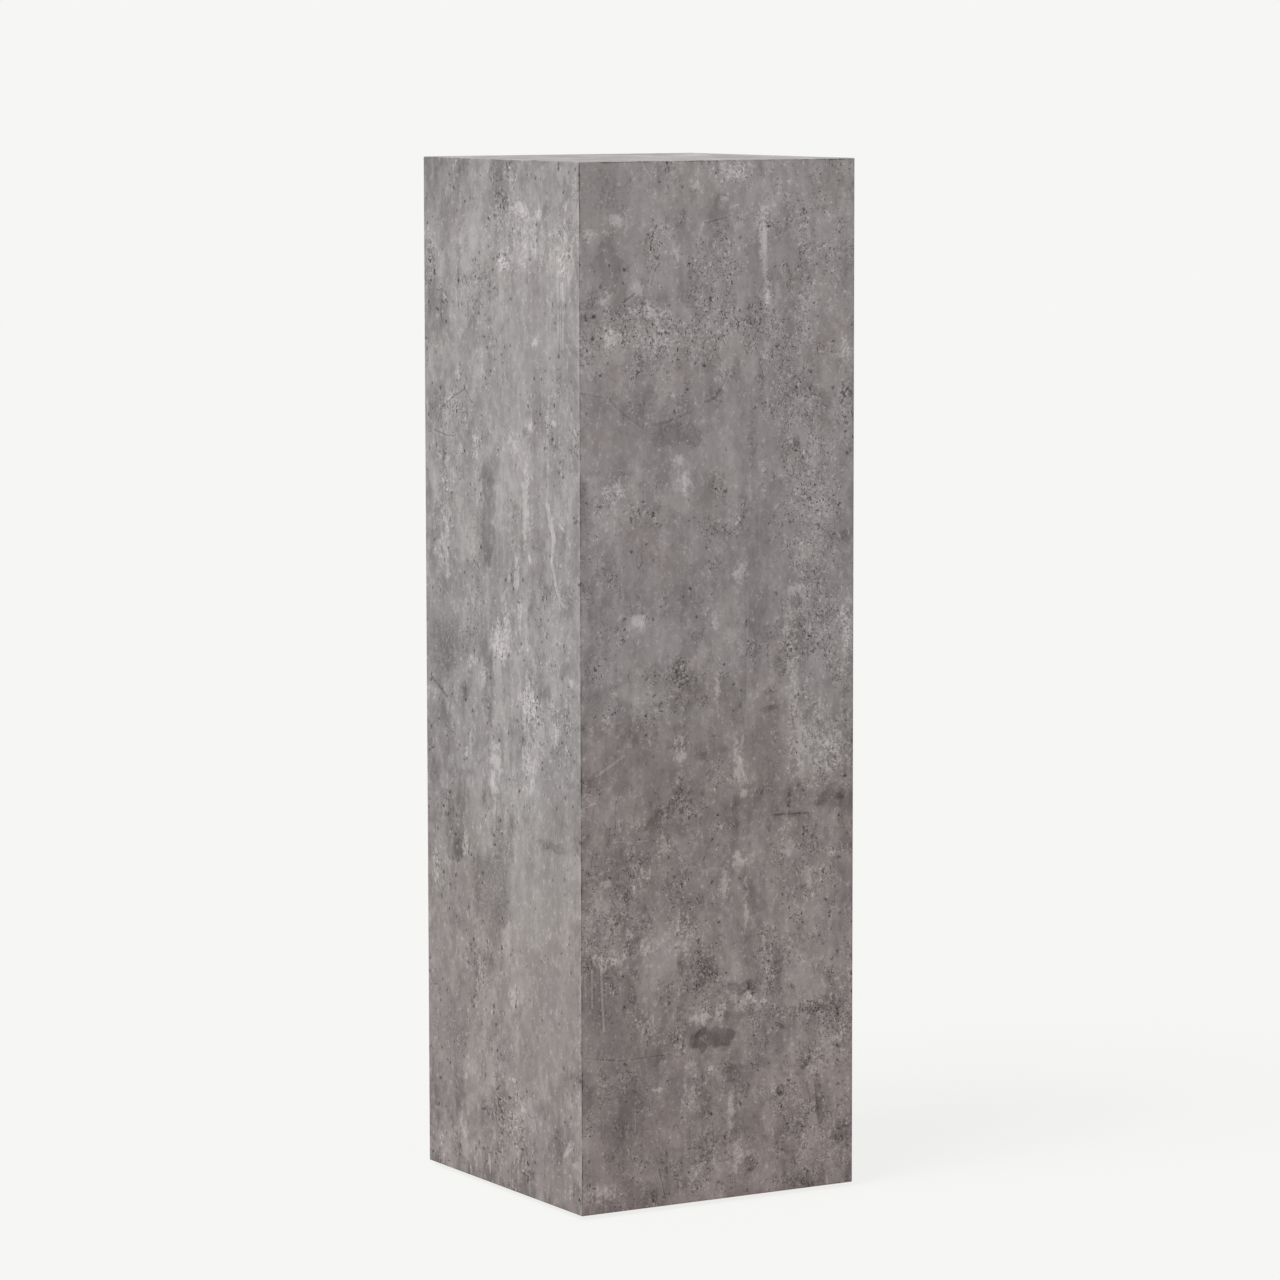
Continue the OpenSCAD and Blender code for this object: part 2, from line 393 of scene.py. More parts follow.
    def by_name(self) -> dict[str, np.ndarray]:
        """Every field that the finish reads, under its attribute's name."""
        return {
            "tone": self.tone(),
            "grain": self.graininess(),
            "calm": self.calm(),
            "warmth": self.warmth(),
            "ochre": self.ochre(),
            "film_small": self.film(Layer.SMALL_FILM, self.SMALL_FILMS),
            "film_large": self.film(Layer.LARGE_FILM, self.LARGE_FILMS),
            "pale": self.spots(self.face.pale),
            "stain": self.spots(self.face.stains),
            "rub": self.rub(),
            **self.trails(),
        }


class Value:
    """A number that a finish works out at each point. Sums and products of values add Math nodes."""

    def __init__(self, tree: "NodeTree", socket: bpy.types.NodeSocket) -> None:
        """Wraps an output socket of the tree."""
        self.tree = tree
        self.socket = socket

    def __add__(self, other: "Value | float") -> "Value":
        """This plus other."""
        return self.tree.maths("ADD", self, other)

    __radd__ = __add__

    def __sub__(self, other: "Value | float") -> "Value":
        """This less other."""
        return self.tree.maths("SUBTRACT", self, other)

    def __rsub__(self, other: float) -> "Value":
        """Other less this."""
        return self.tree.maths("SUBTRACT", other, self)

    def __mul__(self, other: "Value | float") -> "Value":
        """This times other."""
        return self.tree.maths("MULTIPLY", self, other)

    __rmul__ = __mul__

    def __pow__(self, power: float) -> "Value":
        """This raised to a power."""
        return self.tree.maths("POWER", self, power)

    def __abs__(self) -> "Value":
        """This without its sign."""
        return self.tree.maths("ABSOLUTE", self)

    def sine(self) -> "Value":
        """The sine of this, in radians."""
        return self.tree.maths("SINE", self)

    def clamp(self, low: float, high: float) -> "Value":
        """This, kept between low and high."""
        return self.tree.maths("MINIMUM", self.tree.maths("MAXIMUM", self, low), high)

    def rise(self, low: float, high: float) -> "Value":
        """A smooth step from 0 at low to 1 at high, which falls where low is above high."""
        made = self.tree.node(
            "ShaderNodeMapRange",
            {"interpolation_type": "SMOOTHSTEP"},
            {"Value": self, "From Min": low, "From Max": high})
        return Value(self.tree, made.outputs["Result"])


def find_socket(sockets: bpy.types.bpy_prop_collection, name: str) -> bpy.types.NodeSocket:
    """The socket with that identifier, or else the one with that name."""
    return {socket.identifier: socket for socket in sockets}.get(name) or sockets[name]


class NodeTree:
    """The node tree of a material or of the world, with short ways to add what the finishes use."""

    def __init__(self, owner: bpy.types.Material | bpy.types.World) -> None:
        """Empties the owner's tree."""
        self.owner = owner
        owner.use_nodes = True
        self.nodes = owner.node_tree.nodes
        self.links = owner.node_tree.links
        self.nodes.clear()

    def node(
        self, kind: str, settings: dict[str, object] | None = None,
        inputs: dict[str, object] | None = None,
    ) -> bpy.types.Node:
        """Adds a node.

        Args:
            kind: The node's type.
            settings: Its properties, which are set first.
            inputs: For each socket's identifier or name, a value, or a socket or a Value to link.

        Returns:
            The node.
        """
        made = self.nodes.new(kind)
        for name, setting in (settings or {}).items():
            setattr(made, name, setting)
        for name, given in (inputs or {}).items():
            socket = find_socket(made.inputs, name)
            given = given.socket if isinstance(given, Value) else given
            if isinstance(given, bpy.types.NodeSocket):
                self.links.new(given, socket)
            else:
                socket.default_value = given
        return made

    def maths(self, operation: str, *operands: Value | float) -> Value:
        """A Math node on one or two numbers."""
        inputs = dict(zip(("Value", "Value_001"), operands))
        made = self.node("ShaderNodeMath", {"operation": operation}, inputs)
        return Value(self, made.outputs["Value"])

    def vector(
        self, operation: str, first: bpy.types.NodeSocket, second: bpy.types.NodeSocket | Shares,
    ) -> bpy.types.NodeSocket:
        """A Vector Math node on two vectors or colours."""
        inputs = {"Vector": first, "Vector_001": second}
        return self.node("ShaderNodeVectorMath", {"operation": operation}, inputs).outputs["Vector"]

    def scaled(self, colour: bpy.types.NodeSocket, factor: Value) -> bpy.types.NodeSocket:
        """A colour times a number."""
        inputs = {"Vector": colour, "Scale": factor}
        return self.node("ShaderNodeVectorMath", {"operation": "SCALE"}, inputs).outputs["Vector"]

    def attribute(self, name: str) -> Value:
        """The mesh's own attribute of that name."""
        made = self.node("ShaderNodeAttribute", {"attribute_name": name})
        return Value(self, made.outputs["Fac"])

    def place_mm(self, stretch: Shares = (1, 1, 1)) -> bpy.types.NodeSocket:
        """Object coordinates in mm, multiplied by stretch, so that a small number draws a pattern out."""
        coordinates = self.node("ShaderNodeTexCoord").outputs["Object"]
        return self.vector("MULTIPLY", coordinates, tuple(factor / MM for factor in stretch))

    def noise(self, place: bpy.types.NodeSocket, grit: Grit) -> Value:
        """Noise about 0 of the given size, detail and roughness."""
        size, detail, roughness = grit
        made = self.node(
            "ShaderNodeTexNoise", None,
            {"Vector": place, "Scale": 1 / size, "Detail": detail, "Roughness": roughness})
        return Value(self, made.outputs["Fac"]) - 0.5

    def mix(
        self, share: Value, first: bpy.types.NodeSocket | Colour, second: Colour,
    ) -> bpy.types.NodeSocket:
        """A colour between two, from the first at 0 to the second at 1."""
        made = self.node(
            "ShaderNodeMix",
            {"data_type": "RGBA"},
            {"Factor_Float": share, "A_Color": first, "B_Color": second})
        return find_socket(made.outputs, "Result_Color")

    def rays(self, *kinds: str) -> list[Value]:
        """For each kind of ray, 1 where it is the one that sees the point."""
        made = self.node("ShaderNodeLightPath")
        return [Value(self, made.outputs[f"Is {kind} Ray"]) for kind in kinds]

    def mix_shaders(
        self, share: Value | float, first: bpy.types.Node, second: bpy.types.Node,
    ) -> bpy.types.Node:
        """A shader between two, from the first at 0 to the second at 1."""
        return self.node(
            "ShaderNodeMixShader", None,
            {"Fac": share, "Shader": first.outputs[0], "Shader_001": second.outputs[0]})

    def bump(self, height: Value, distance: float, strength: float) -> bpy.types.NodeSocket:
        """A bump of that height, in metres at 1."""
        made = self.node(
            "ShaderNodeBump", None,
            {"Height": height, "Distance": distance, "Strength": strength})
        return made.outputs["Normal"]

    def surface(self, **inputs: object) -> bpy.types.Material:
        """Ends the tree with the surface shader.

        Args:
            inputs: Sockets of the shader, with underscores for the blanks in their names.

        Returns:
            The finished material.
        """
        named = {name.replace("_", " "): given for name, given in inputs.items()}
        shader = self.node("ShaderNodeBsdfPrincipled", None, named)
        self.node("ShaderNodeOutputMaterial", None, {"Surface": shader.outputs["BSDF"]})
        return self.owner


@dataclass(frozen=True)
class PrintGround:
    """What every mark of the print is cut from: the tree, the place in mm and the shared noises."""

    tree: NodeTree
    place: bpy.types.NodeSocket
    ragged: Value
    crust: Value
    gathered: Value
    busy: Value


@dataclass(frozen=True)
class ConcretePrint:
    """Silk-matt laminate printed like shuttered concrete, whose fields come from the sheet.

    A lift or a drop is a share of the base colour, and a tear says how far a noise tears a border.
    """

    grey: Colour = (0.3165, 0.2965, 0.2955, 1)
    mauve: Colour = (0.3573, 0.2869, 0.2928, 1)
    full_tint: float = 1.6
    tint_in_lights: float = -0.7
    clear: Colour = (1.0, 1.0, 1.0, 1)
    ochre: Colour = (1.0, 1.0, 0.955, 1)
    veil_tear: float = 1.5
    veil_grit: Grit = (22.0, 2.0, 0.6)
    core: Colour = (0.045, 0.036, 0.030, 1)
    darkest: float = 0.10

    roughness: float = 0.52
    pale_gloss: float = 0.08
    crust_roughness: float = 0.25
    relief: float = 0.05 * MM
    relief_strength: float = 0.3
    hole_depth: float = 0.5

    stretch: Shares = (1, 1, 0.9)
    ragged_stretch: Shares = (1, 1, 0.65)
    ragged_grit: Grit = (8.0, 4.0, 0.8)
    ragged_level: float = 0.50
    ragged_in_calm: float = 0.65
    crust_grit: Grit = (4.0, 3.0, 0.9)
    crust_level: float = 2.1
    gathered_grit: Grit = (17.0, 3.0, 0.7)
    gathered_level: float = 3.4
    busy_edge: Edge = (0.20, 1.20)
    rub_tear: float = 3.0

    terrace: float = 0.085
    terraces: tuple[float, ...] = (-0.85, 0.05, 0.95)
    film_tears: tuple[tuple[str, float, float], ...] = (("film_small", 3.4, 0.12), ("film_large", 3.2, 0.10))
    film_crust: float = 0.5

    pale_tear: tuple[float, float] = (3.0, 4.0)
    pale_edge: Edge = (0.42, 0.54)
    pale_lift: float = 0.22
    pale_core_edge: Edge = (0.80, 0.96)
    pale_core_lift: float = 0.24
    pale_glow: float = 0.10
    rim_edge: Edge = (0.26, 0.38)
    rim_kept: Edge = (-0.04, 0.06)
    rim_drop: float = 0.12

    stain_tear: tuple[float, float] = (2.2, -1.8)
    stain_edge: Edge = (0.42, 0.56)
    stain_drop: float = 0.22
    stain_wash: float = 0.08
    stain_wash_most: float = 1.2

    speck_grit: Grit = (2.1, 2.0, 0.75)
    speck_edge: Edge = (-0.11, -0.16)
    speck_drop: float = 1.25
    speck_lift: float = 0.55
    speck_light: Shares = (0.8, 0.8, 0.8)

    crack_stretch: Shares = (1, 1, 0.40)
    crack_grit: Grit = (10.0, 3.0, 0.6)
    crack_kept: Edge = (-0.06, 0.04)
    crack_edge: Edge = (0.014, 0.004)
    crack_drop: float = 0.48
    lip_beside: float = 0.022
    lip_edge: Edge = (0.012, 0.003)
    lip_lift: float = 0.30

    hole_cell: float = 8.0
    hole_tear: float = 1.2
    hole_edge: Edge = (0.22, 0.10)
    hole_gathering: float = 0.25
    hole_kept: Edge = (0.84, 0.98)
    hole_drop: float = 0.56

    trail_tear: float = 4.0
    trail_edge: Edge = (0.5, -0.3)
    trail_level: float = 1.35
    trail_rim_edge: Edge = (2.2, 0.8)
    trail_rim: float = 0.35
    trail_kept: Edge = (-0.14, -0.04)
    trail_share: float = 1.5

    def ground(self) -> PrintGround:
        """Starts the material with the noises that its marks share."""
        tree = NodeTree(bpy.data.materials.new("concrete_print"))
        place = tree.place_mm(self.stretch)
        ragged = tree.noise(tree.place_mm(self.ragged_stretch), self.ragged_grit)
        crust = tree.noise(place, self.crust_grit)
        gathered = tree.attribute("grain") + self.gathered_level * tree.noise(place, self.gathered_grit)
        return PrintGround(tree, place, ragged, crust, gathered, gathered.rise(*self.busy_edge))

    def material(self) -> bpy.types.Material:
        """Builds the finish from the sheet's fields and fine noise.

        Returns:
            The material.
        """
        ground = self.ground()
        tree, crust = ground.tree, ground.crust
        loose = 1 - self.ragged_in_calm * tree.attribute("calm")
        granular = self.crust_level * crust + self.specks(ground) + self.cracks(ground)
        pale, pale_tone = self.flakes(ground)
        stain, stain_tone = self.stains(ground)
        holes = self.holes(ground)
        value = tree.attribute("tone") + self.ragged_level * ground.ragged * loose
        value = value + self.films(ground) + granular * ground.busy + pale_tone + stain_tone
        value = value - self.hole_drop * holes + self.trails(ground)
        # Thin lines along the edges: wear, together with painted highlights and painted shade lines.
        value = value + tree.attribute("rub") * (1 + self.rub_tear * crust)

        colour = tree.mix(tree.attribute("core"), self.printed_colour(ground, value), self.core)
        rough = self.roughness - self.pale_gloss * pale + self.pale_gloss * stain
        rough = rough + self.crust_roughness * crust
        normal = tree.bump(crust - self.hole_depth * holes, self.relief, self.relief_strength)
        return tree.surface(Base_Color=colour, Roughness=rough, Normal=normal)

    def printed_colour(self, ground: PrintGround, value: Value) -> bpy.types.NodeSocket:
        """The grey, tinted mauve and veiled with ochre, times 1 plus the tone.

        Args:
            ground: The shared noises.
            value: The tone.

        Returns:
            The colour.
        """
        tree = ground.tree
        warm = tree.attribute("warmth") + self.tint_in_lights * value
        tinted = tree.mix((warm * (1 / self.full_tint)).clamp(0, 1), self.grey, self.mauve)
        veiled = tree.attribute("ochre") + self.veil_tear * tree.noise(ground.place, self.veil_grit)
        veil = tree.mix(veiled, self.clear, self.ochre)
        return tree.scaled(
            tree.vector("MULTIPLY", tinted, veil), tree.maths("MAXIMUM", 1 + value, self.darkest))

    def films(self, ground: PrintGround) -> Value:
        """Thin layers of cement with torn borders: each field steps up where it passes a terrace."""
        torn = ground.ragged + self.film_crust * ground.crust
        total = -0.5 * self.terrace * len(self.terraces) * len(self.film_tears)
        for name, tear, half_step in self.film_tears:
            film = ground.tree.attribute(name) + tear * torn
            for terrace in self.terraces:
                total = film.rise(terrace - half_step, terrace + half_step) * self.terrace + total
        return total

    def flakes(self, ground: PrintGround) -> tuple[Value, Value]:
        """Pale flakes with a paler core and a broken dark rim.

        Args:
            ground: The shared noises.

        Returns:
            The flakes' mask, and the tone to add.
        """
        spots = ground.tree.attribute("pale")
        by_ragged, by_crust = self.pale_tear
        torn = spots + by_ragged * ground.ragged + by_crust * ground.crust
        pale = torn.rise(*self.pale_edge)
        core = torn.rise(*self.pale_core_edge)
        rim = (torn.rise(*self.rim_edge) - pale) * ground.crust.rise(*self.rim_kept)
        lift = self.pale_lift * pale + self.pale_core_lift * core + self.pale_glow * spots
        return pale, lift - self.rim_drop * rim

    def stains(self, ground: PrintGround) -> tuple[Value, Value]:
        """Dark stains with torn borders in a soft wash.

        Args:
            ground: The shared noises.

        Returns:
            The stains' mask, and the tone to add.
        """
        spots = ground.tree.attribute("stain")
        by_ragged, by_crust = self.stain_tear
        stain = (spots + by_ragged * ground.ragged + by_crust * ground.crust).rise(*self.stain_edge)
        wash = ground.tree.maths("MINIMUM", spots, self.stain_wash_most)
        return stain, -self.stain_drop * stain - self.stain_wash * wash

    def specks(self, ground: PrintGround) -> Value:
        """Dark grains, each with a pale one to its lower left, like the lit side of a hollow."""
        tree = ground.tree
        grains = tree.noise(ground.place, self.speck_grit)
        beside = tree.noise(tree.vector("ADD", ground.place, self.speck_light), self.speck_grit)
        lit = self.speck_lift * beside.rise(*self.speck_edge)
        return lit - self.speck_drop * grains.rise(*self.speck_edge)

    def cracks(self, ground: PrintGround) -> Value:
        """Upright hairline cracks with one pale lip, where a wide noise passes nought."""
        tree = ground.tree
        bend = tree.noise(tree.place_mm(self.crack_stretch), self.crack_grit)
        line = abs(bend).rise(*self.crack_edge)
        lip = abs(bend - self.lip_beside).rise(*self.lip_edge)
        return (self.lip_lift * lip - self.crack_drop * line) * ground.crust.rise(*self.crack_kept)

    def holes(self, ground: PrintGround) -> Value:
        """Dark pinholes with uneven rims, more of them where the print is granular.

        Args:
            ground: The shared noises.

        Returns:
            1 in a hole and 0 beside it.
        """
        tree = ground.tree
        cells = tree.node("ShaderNodeTexVoronoi", None, {"Vector": ground.place, "Scale": 1 / self.hole_cell})
        away = Value(tree, cells.outputs["Distance"]) + self.hole_tear * ground.crust
        chance = tree.node("ShaderNodeSeparateColor", None, {"Color": cells.outputs["Color"]})
        kept = Value(tree, chance.outputs["Red"]) + self.hole_gathering * ground.gathered
        return away.rise(*self.hole_edge) * kept.rise(*self.hole_kept)

    def trails(self, ground: PrintGround) -> Value:
        """Thin lines with rims of the other tone, uneven in width and broken here and there."""
        tree = ground.tree
        side = tree.attribute("trail_side")
        past = tree.attribute("trail_past")
        away = (side * side + past * past) ** 0.5 - tree.attribute("trail_half")
        torn = away + self.trail_tear * ground.crust
        rim = self.trail_rim * torn.rise(*self.trail_rim_edge)
        line = (self.trail_level * torn.rise(*self.trail_edge) - rim) * ground.ragged.rise(*self.trail_kept)
        return self.trail_share * line * tree.attribute("trail_ink")


@dataclass(frozen=True)
class PlainFinish:
    """A finish of a base colour and a marked one, whose roughness and relief follow a fine noise."""

    base: Colour
    marked: Colour
    roughness: float
    roughness_level: float
    metallic: float = 0.0
    relief: float = 0.0
    relief_strength: float = 0.0

    def surface(self, tree: NodeTree, share: Value, fine: Value) -> bpy.types.Material:
        """Ends the tree of the finish.

        Args:
            tree: The material's tree.
            share: How much of the marked colour shows.
            fine: The fine noise.

        Returns:
            The finished material.
        """
        inputs = {"Normal": tree.bump(fine, self.relief, self.relief_strength)} if self.relief else {}
        return tree.surface(
            Base_Color=tree.mix(share.clamp(0, 1), self.base, self.marked),
            Metallic=self.metallic,
            Roughness=self.roughness + self.roughness_level * fine,
            **inputs)


@dataclass(frozen=True)
class Fibreboard(PlainFinish):
    """Raw medium-density fibreboard: short pale and dark fibres in a tan ground."""

    base: Colour = (0.50, 0.36, 0.22, 1)
    marked: Colour = (0.32, 0.21, 0.115, 1)
    roughness: float = 0.82
    roughness_level: float = 0.2
    relief: float = 0.05 * MM
    relief_strength: float = 0.5
    lying: Shares = (1, 1, 0.35)
    fibre_grit: Grit = (0.9, 3.0, 0.7)
    mottle_grit: Grit = (14.0, 2.0, 0.5)
    darkness: float = 0.45
    fibre_level: float = 1.6
    mottle_level: float = 0.8

    def material(self) -> bpy.types.Material:
        """Builds the finish."""
        tree = NodeTree(bpy.data.materials.new("fibreboard"))
        fibres = tree.noise(tree.place_mm(self.lying), self.fibre_grit)
        mottle = tree.noise(tree.place_mm(), self.mottle_grit)
        share = self.darkness + self.fibre_level * fibres + self.mottle_level * mottle
        return self.surface(tree, share, fibres)


@dataclass(frozen=True)
class Softwood(PlainFinish):
    """Planed pine, with growth rings drawn out along the stick."""

    base: Colour = (0.72, 0.52, 0.30, 1)
    marked: Colour = (0.50, 0.29, 0.125, 1)
    roughness: float = 0.62
    roughness_level: float = 0.3
    relief: float = 0.05 * MM
    relief_strength: float = 0.4
    grain: Grain = Grain.UPRIGHT
    drawn_out: float = 0.03
    ring: float = 3.2
    ring_bend: float = 34.0
    bend_grit: Grit = (26.0, 3.0, 0.5)
    late_wood: float = 2.2
    ring_level: float = 0.85
    fibre_grit: Grit = (0.7, 2.0, 0.6)
    fibre_level: float = 0.9

    def material(self) -> bpy.types.Material:
        """Builds the finish: rings are the sine of the place across the grain, bent by long noise."""
        tree = NodeTree(bpy.data.materials.new("pine_" + self.grain.value))
        place = tree.place_mm(tuple(self.drawn_out if self.grain is way else 1 for way in Grain))
        bend = tree.noise(place, self.bend_grit)
        across = tree.node("ShaderNodeSeparateXYZ", None, {"Vector": place})
        sideways = "Y" if self.grain is Grain.ALONG_X else "X"
        turns = Value(tree, across.outputs[sideways]) * (2 * math.pi / self.ring)
        rings = (0.5 + 0.5 * (turns + self.ring_bend * bend).sine()) ** self.late_wood
        fibres = tree.noise(place, self.fibre_grit)
        return self.surface(tree, self.ring_level * rings + self.fibre_level * fibres, fibres)


@dataclass(frozen=True)
class ZincPlate(PlainFinish):
    """Bright zinc on steel, a little clouded and bluish."""

    base: Colour = (0.66, 0.68, 0.72, 1)
    marked: Colour = (0.50, 0.51, 0.52, 1)
    roughness: float = 0.34
    roughness_level: float = 0.5
    metallic: float = 1.0
    cloud_grit: Grit = (2.4, 3.0, 0.6)
    dullness: float = 0.5
    cloud_level: float = 2.2

    def material(self) -> bpy.types.Material:
        """Builds the finish."""
        tree = NodeTree(bpy.data.materials.new("zinc_plate"))
        clouds = tree.noise(tree.place_mm(), self.cloud_grit)
        return self.surface(tree, self.dullness + self.cloud_level * clouds, clouds)


@dataclass(frozen=True)
class GlidePlastic(PlainFinish):
    """Moulded black plastic with a fine stipple, scuffed pale where it slides."""

    base: Colour = (0.022, 0.022, 0.024, 1)
    marked: Colour = (0.085, 0.085, 0.088, 1)
    roughness: float = 0.46
    roughness_level: float = 0.4
    relief: float = 0.04 * MM
    relief_strength: float = 0.5
    along_x: Shares = (0.25, 1, 1)
    stipple_grit: Grit = (0.6, 2.0, 0.6)
    scuff_grit: Grit = (1.6, 3.0, 0.6)
    scuffed: float = 0.25
    scuff_level: float = 2.4

    def material(self) -> bpy.types.Material:
        """Builds the finish."""
        tree = NodeTree(bpy.data.materials.new("glide_plastic"))
        stipple = tree.noise(tree.place_mm(), self.stipple_grit)
        scuffs = tree.noise(tree.place_mm(self.along_x), self.scuff_grit)
        return self.surface(tree, self.scuffed + self.scuff_level * scuffs, stipple)


def closed_tube(name: str, loops: np.ndarray, sharp_over: float) -> bpy.types.Object:
    """Makes a closed mesh of a loop of points carried along a path, with a flat face on each end.

    Loop j holds n points. Each face of the wall joins points i and i + 1 of loop j to the same two of
    loop j + 1, and the last point joins the first. The faces point outwards where the loop runs to the
    left round the way along.

    Args:
        name: The object's name.
        loops: Points as an array of loops by points by 3, in metres.
        sharp_over: Edges that turn by more than this angle, in degrees, are left sharp.

    Returns:
        The object, at the origin.
    """
    count, ring = loops.shape[:2]
    index = np.arange(count * ring).reshape(count, ring)
    here = index[:-1]
    above = index[1:]
    wall = np.stack([here, np.roll(here, -1, 1), np.roll(above, -1, 1), above], axis=2)
    corners = np.concatenate([wall.ravel(), index[0, ::-1], index[-1]])
    totals = np.concatenate([np.full((count - 1) * ring, 4), [ring, ring]])
    starts = np.concatenate([[0], np.cumsum(totals)[:-1]])
    mesh = bpy.data.meshes.new(name)
    mesh.vertices.add(count * ring)
    mesh.vertices.foreach_set("co", loops.astype(np.float32).ravel())
    mesh.loops.add(len(corners))
    mesh.loops.foreach_set("vertex_index", corners.astype(np.int32))
    mesh.polygons.add(len(totals))
    mesh.polygons.foreach_set("loop_start", starts.astype(np.int32))
    mesh.polygons.foreach_set("use_smooth", np.ones(len(totals), bool))
    mesh.update(calc_edges=True)
    mesh.validate()
    mesh.set_sharp_from_angle(angle=math.radians(sharp_over))
    piece = bpy.data.objects.new(name, mesh)
    bpy.context.scene.collection.objects.link(piece)
    return piece


@dataclass
class LaminateSheet:
    """One sheet of laminate, mitred along its upright edges and eased to the column's arrises."""

    node: str
    face: FacePrint
    across_way: Vector
    along_way: Vector
    inward_way: Vector
    low_end: SheetEnd
    arris_r: float = 2.0 * MM
    thickness: float = 0.8 * MM
    step: float = 2.0 * MM
    feather_t: float = 0.1 * MM
    arc_steps: int = 3
    sharp_over: float = 28.0

    def extent(self, way: Vector) -> tuple[float, float]:
        """Where the whole column begins and ends along a way, in metres."""
        low, high = cad_box
        ends = sorted((way.dot(low), way.dot(high)))
        return ends[0], ends[1]

    def column_ends(self) -> tuple[float, float]:
        """Where the covered column begins and ends along the sheet."""
        low, high = self.extent(self.along_way)
        if self.low_end is SheetEnd.FEATHERED:
            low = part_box("front_panel")[0].z
        return low, high

    def rounding(self, beyond: np.ndarray) -> np.ndarray:
        """How far an arris drops: radius less the root of radius squared less the reach squared."""
        return self.arris_r - np.sqrt(self.arris_r ** 2 - np.clip(beyond, 0, self.arris_r) ** 2)

    def lines(self, low: float, high: float, low_end: SheetEnd) -> np.ndarray:
        """Where the grid's lines lie between two outer edges of the column.

        The flat stretch is cut into even steps. Each arris gets lines at even angles, up to 45 degrees
        where it is mitred, or to where the sheet is only as thick as a feather.

        Args:
            low: The lower outer edge.
            high: The upper outer edge, which is mitred.
            low_end: How the sheet ends at its lower edge.

        Returns:
            The lines' places, rising.
        """
        radius = self.arris_r
        mitre = math.radians(45)
        feather = math.acos(1 - (self.thickness - self.feather_t) / radius)
        last = mitre if low_end is SheetEnd.MITRED else feather
        share = np.arange(1, self.arc_steps + 1) / self.arc_steps
        below = low + radius - radius * np.sin(last * share[::-1])
        above = high - radius + radius * np.sin(mitre * share)
        steps = round((high - low - 2 * radius) / self.step)
        flat = np.linspace(low + radius, high - radius, steps + 1)
        return np.concatenate([below, flat, above])

    def build(self, material: bpy.types.Material) -> bpy.types.Object:
        """Makes the sheet and puts its print on it.

        A point of the outer face lies below the flat by the greater of the two arrises' drops. The
        loop ends in the two corners of the hidden face, which keep within the mitres.

        Args:
            material: The print's finish.

        Returns:
            The sheet's object.
        """
        side_low, side_high = self.extent(self.across_way)
        end_low, end_high = self.column_ends()
        surface_high = self.extent(-self.inward_way)[1]
        radius = self.arris_r
        across_line = self.lines(side_low, side_high, SheetEnd.MITRED)
        along_line = self.lines(end_low, end_high, self.low_end)
        along, across = np.meshgrid(along_line, across_line, indexing="ij")
        end_drop = np.maximum(
            self.rounding(end_low + radius - along), self.rounding(along - end_high + radius))
        widest = side_high - np.where(self.low_end is SheetEnd.FEATHERED, end_drop, 0)
        across = np.clip(across, -widest, widest)
        side_drop = self.rounding(np.abs(across) - side_high + radius)
        depth = np.maximum(side_drop, end_drop)

        hidden_side = side_high - self.thickness
        hidden_along = np.clip(along_line, None, end_high - self.thickness)
        if self.low_end is SheetEnd.MITRED:
            hidden_along = np.clip(hidden_along, end_low + self.thickness, None)
        else:
            reach = math.sqrt(radius ** 2 - (radius - self.thickness) ** 2)
            hidden_along[0] = end_low + radius - reach
        rows = len(along_line)
        full_across = np.column_stack([across, np.full(rows, hidden_side), np.full(rows, -hidden_side)])
        full_along = np.column_stack([along, hidden_along, hidden_along])
        full_depth = np.column_stack([depth, np.full((rows, 2), self.thickness)])
        points = (
            full_across[..., None] * np.array(self.across_way)
            + full_along[..., None] * np.array(self.along_way)
            + (surface_high - full_depth)[..., None] * -np.array(self.inward_way))
        piece = closed_tube(self.node + "_sheet", points, self.sharp_over)
        piece.data.materials.append(material)
        across_mm = (full_across - side_low) / MM
        along_mm = (full_along - min(end_low, 0)) / MM
        self.put_print(piece, across_mm, along_mm)
        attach(piece, "root")
        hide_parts(self.node)
        return piece

    def put_print(self, piece: bpy.types.Object, across: np.ndarray, along: np.ndarray) -> None:
        """Stores the print's fields on the sheet's points, and marks the hidden face's two as core.

        Args:
            piece: The sheet.
            across: Each point's distance from the left edge, in mm.
            along: Each point's height, or its distance from the front edge on the top, in mm.
        """
        core = np.zeros_like(across)
        core[:, -2:] = 1
        values = {**PrintFields(self.face, across, along).by_name(), "core": core}
        for name, value in values.items():
            stored = piece.data.attributes.new(name, "FLOAT", "POINT")
            stored.data.foreach_set("value", value.astype(np.float32).ravel())


@dataclass(frozen=True)
class Handful:
    """How many spots of one size are strewn over a whole wall, with bounds for their half sizes in mm."""

    count: int
    wide: tuple[float, float]
    tall: tuple[float, float]
    strength: float
    strength_share: tuple[float, float] = (0.5, 1.1)
    most_tilt: float = 14

    def strew(self, rng: np.random.Generator, height: float) -> list[Blot]:
        """Spots at random places, fewer where the face is lower than a wall.

        Args:
            rng: Where the random numbers come from.
            height: Height of the face, in mm.

        Returns:
            The spots.
        """
        return [
            Blot(
                rng.uniform(0, FACE_W), rng.uniform(0, height), rng.uniform(*self.wide),
                rng.uniform(*self.tall), self.strength * rng.uniform(*self.strength_share),
                rng.uniform(-self.most_tilt, self.most_tilt))
            for _ in range(round(self.count * height / FACE_H))]


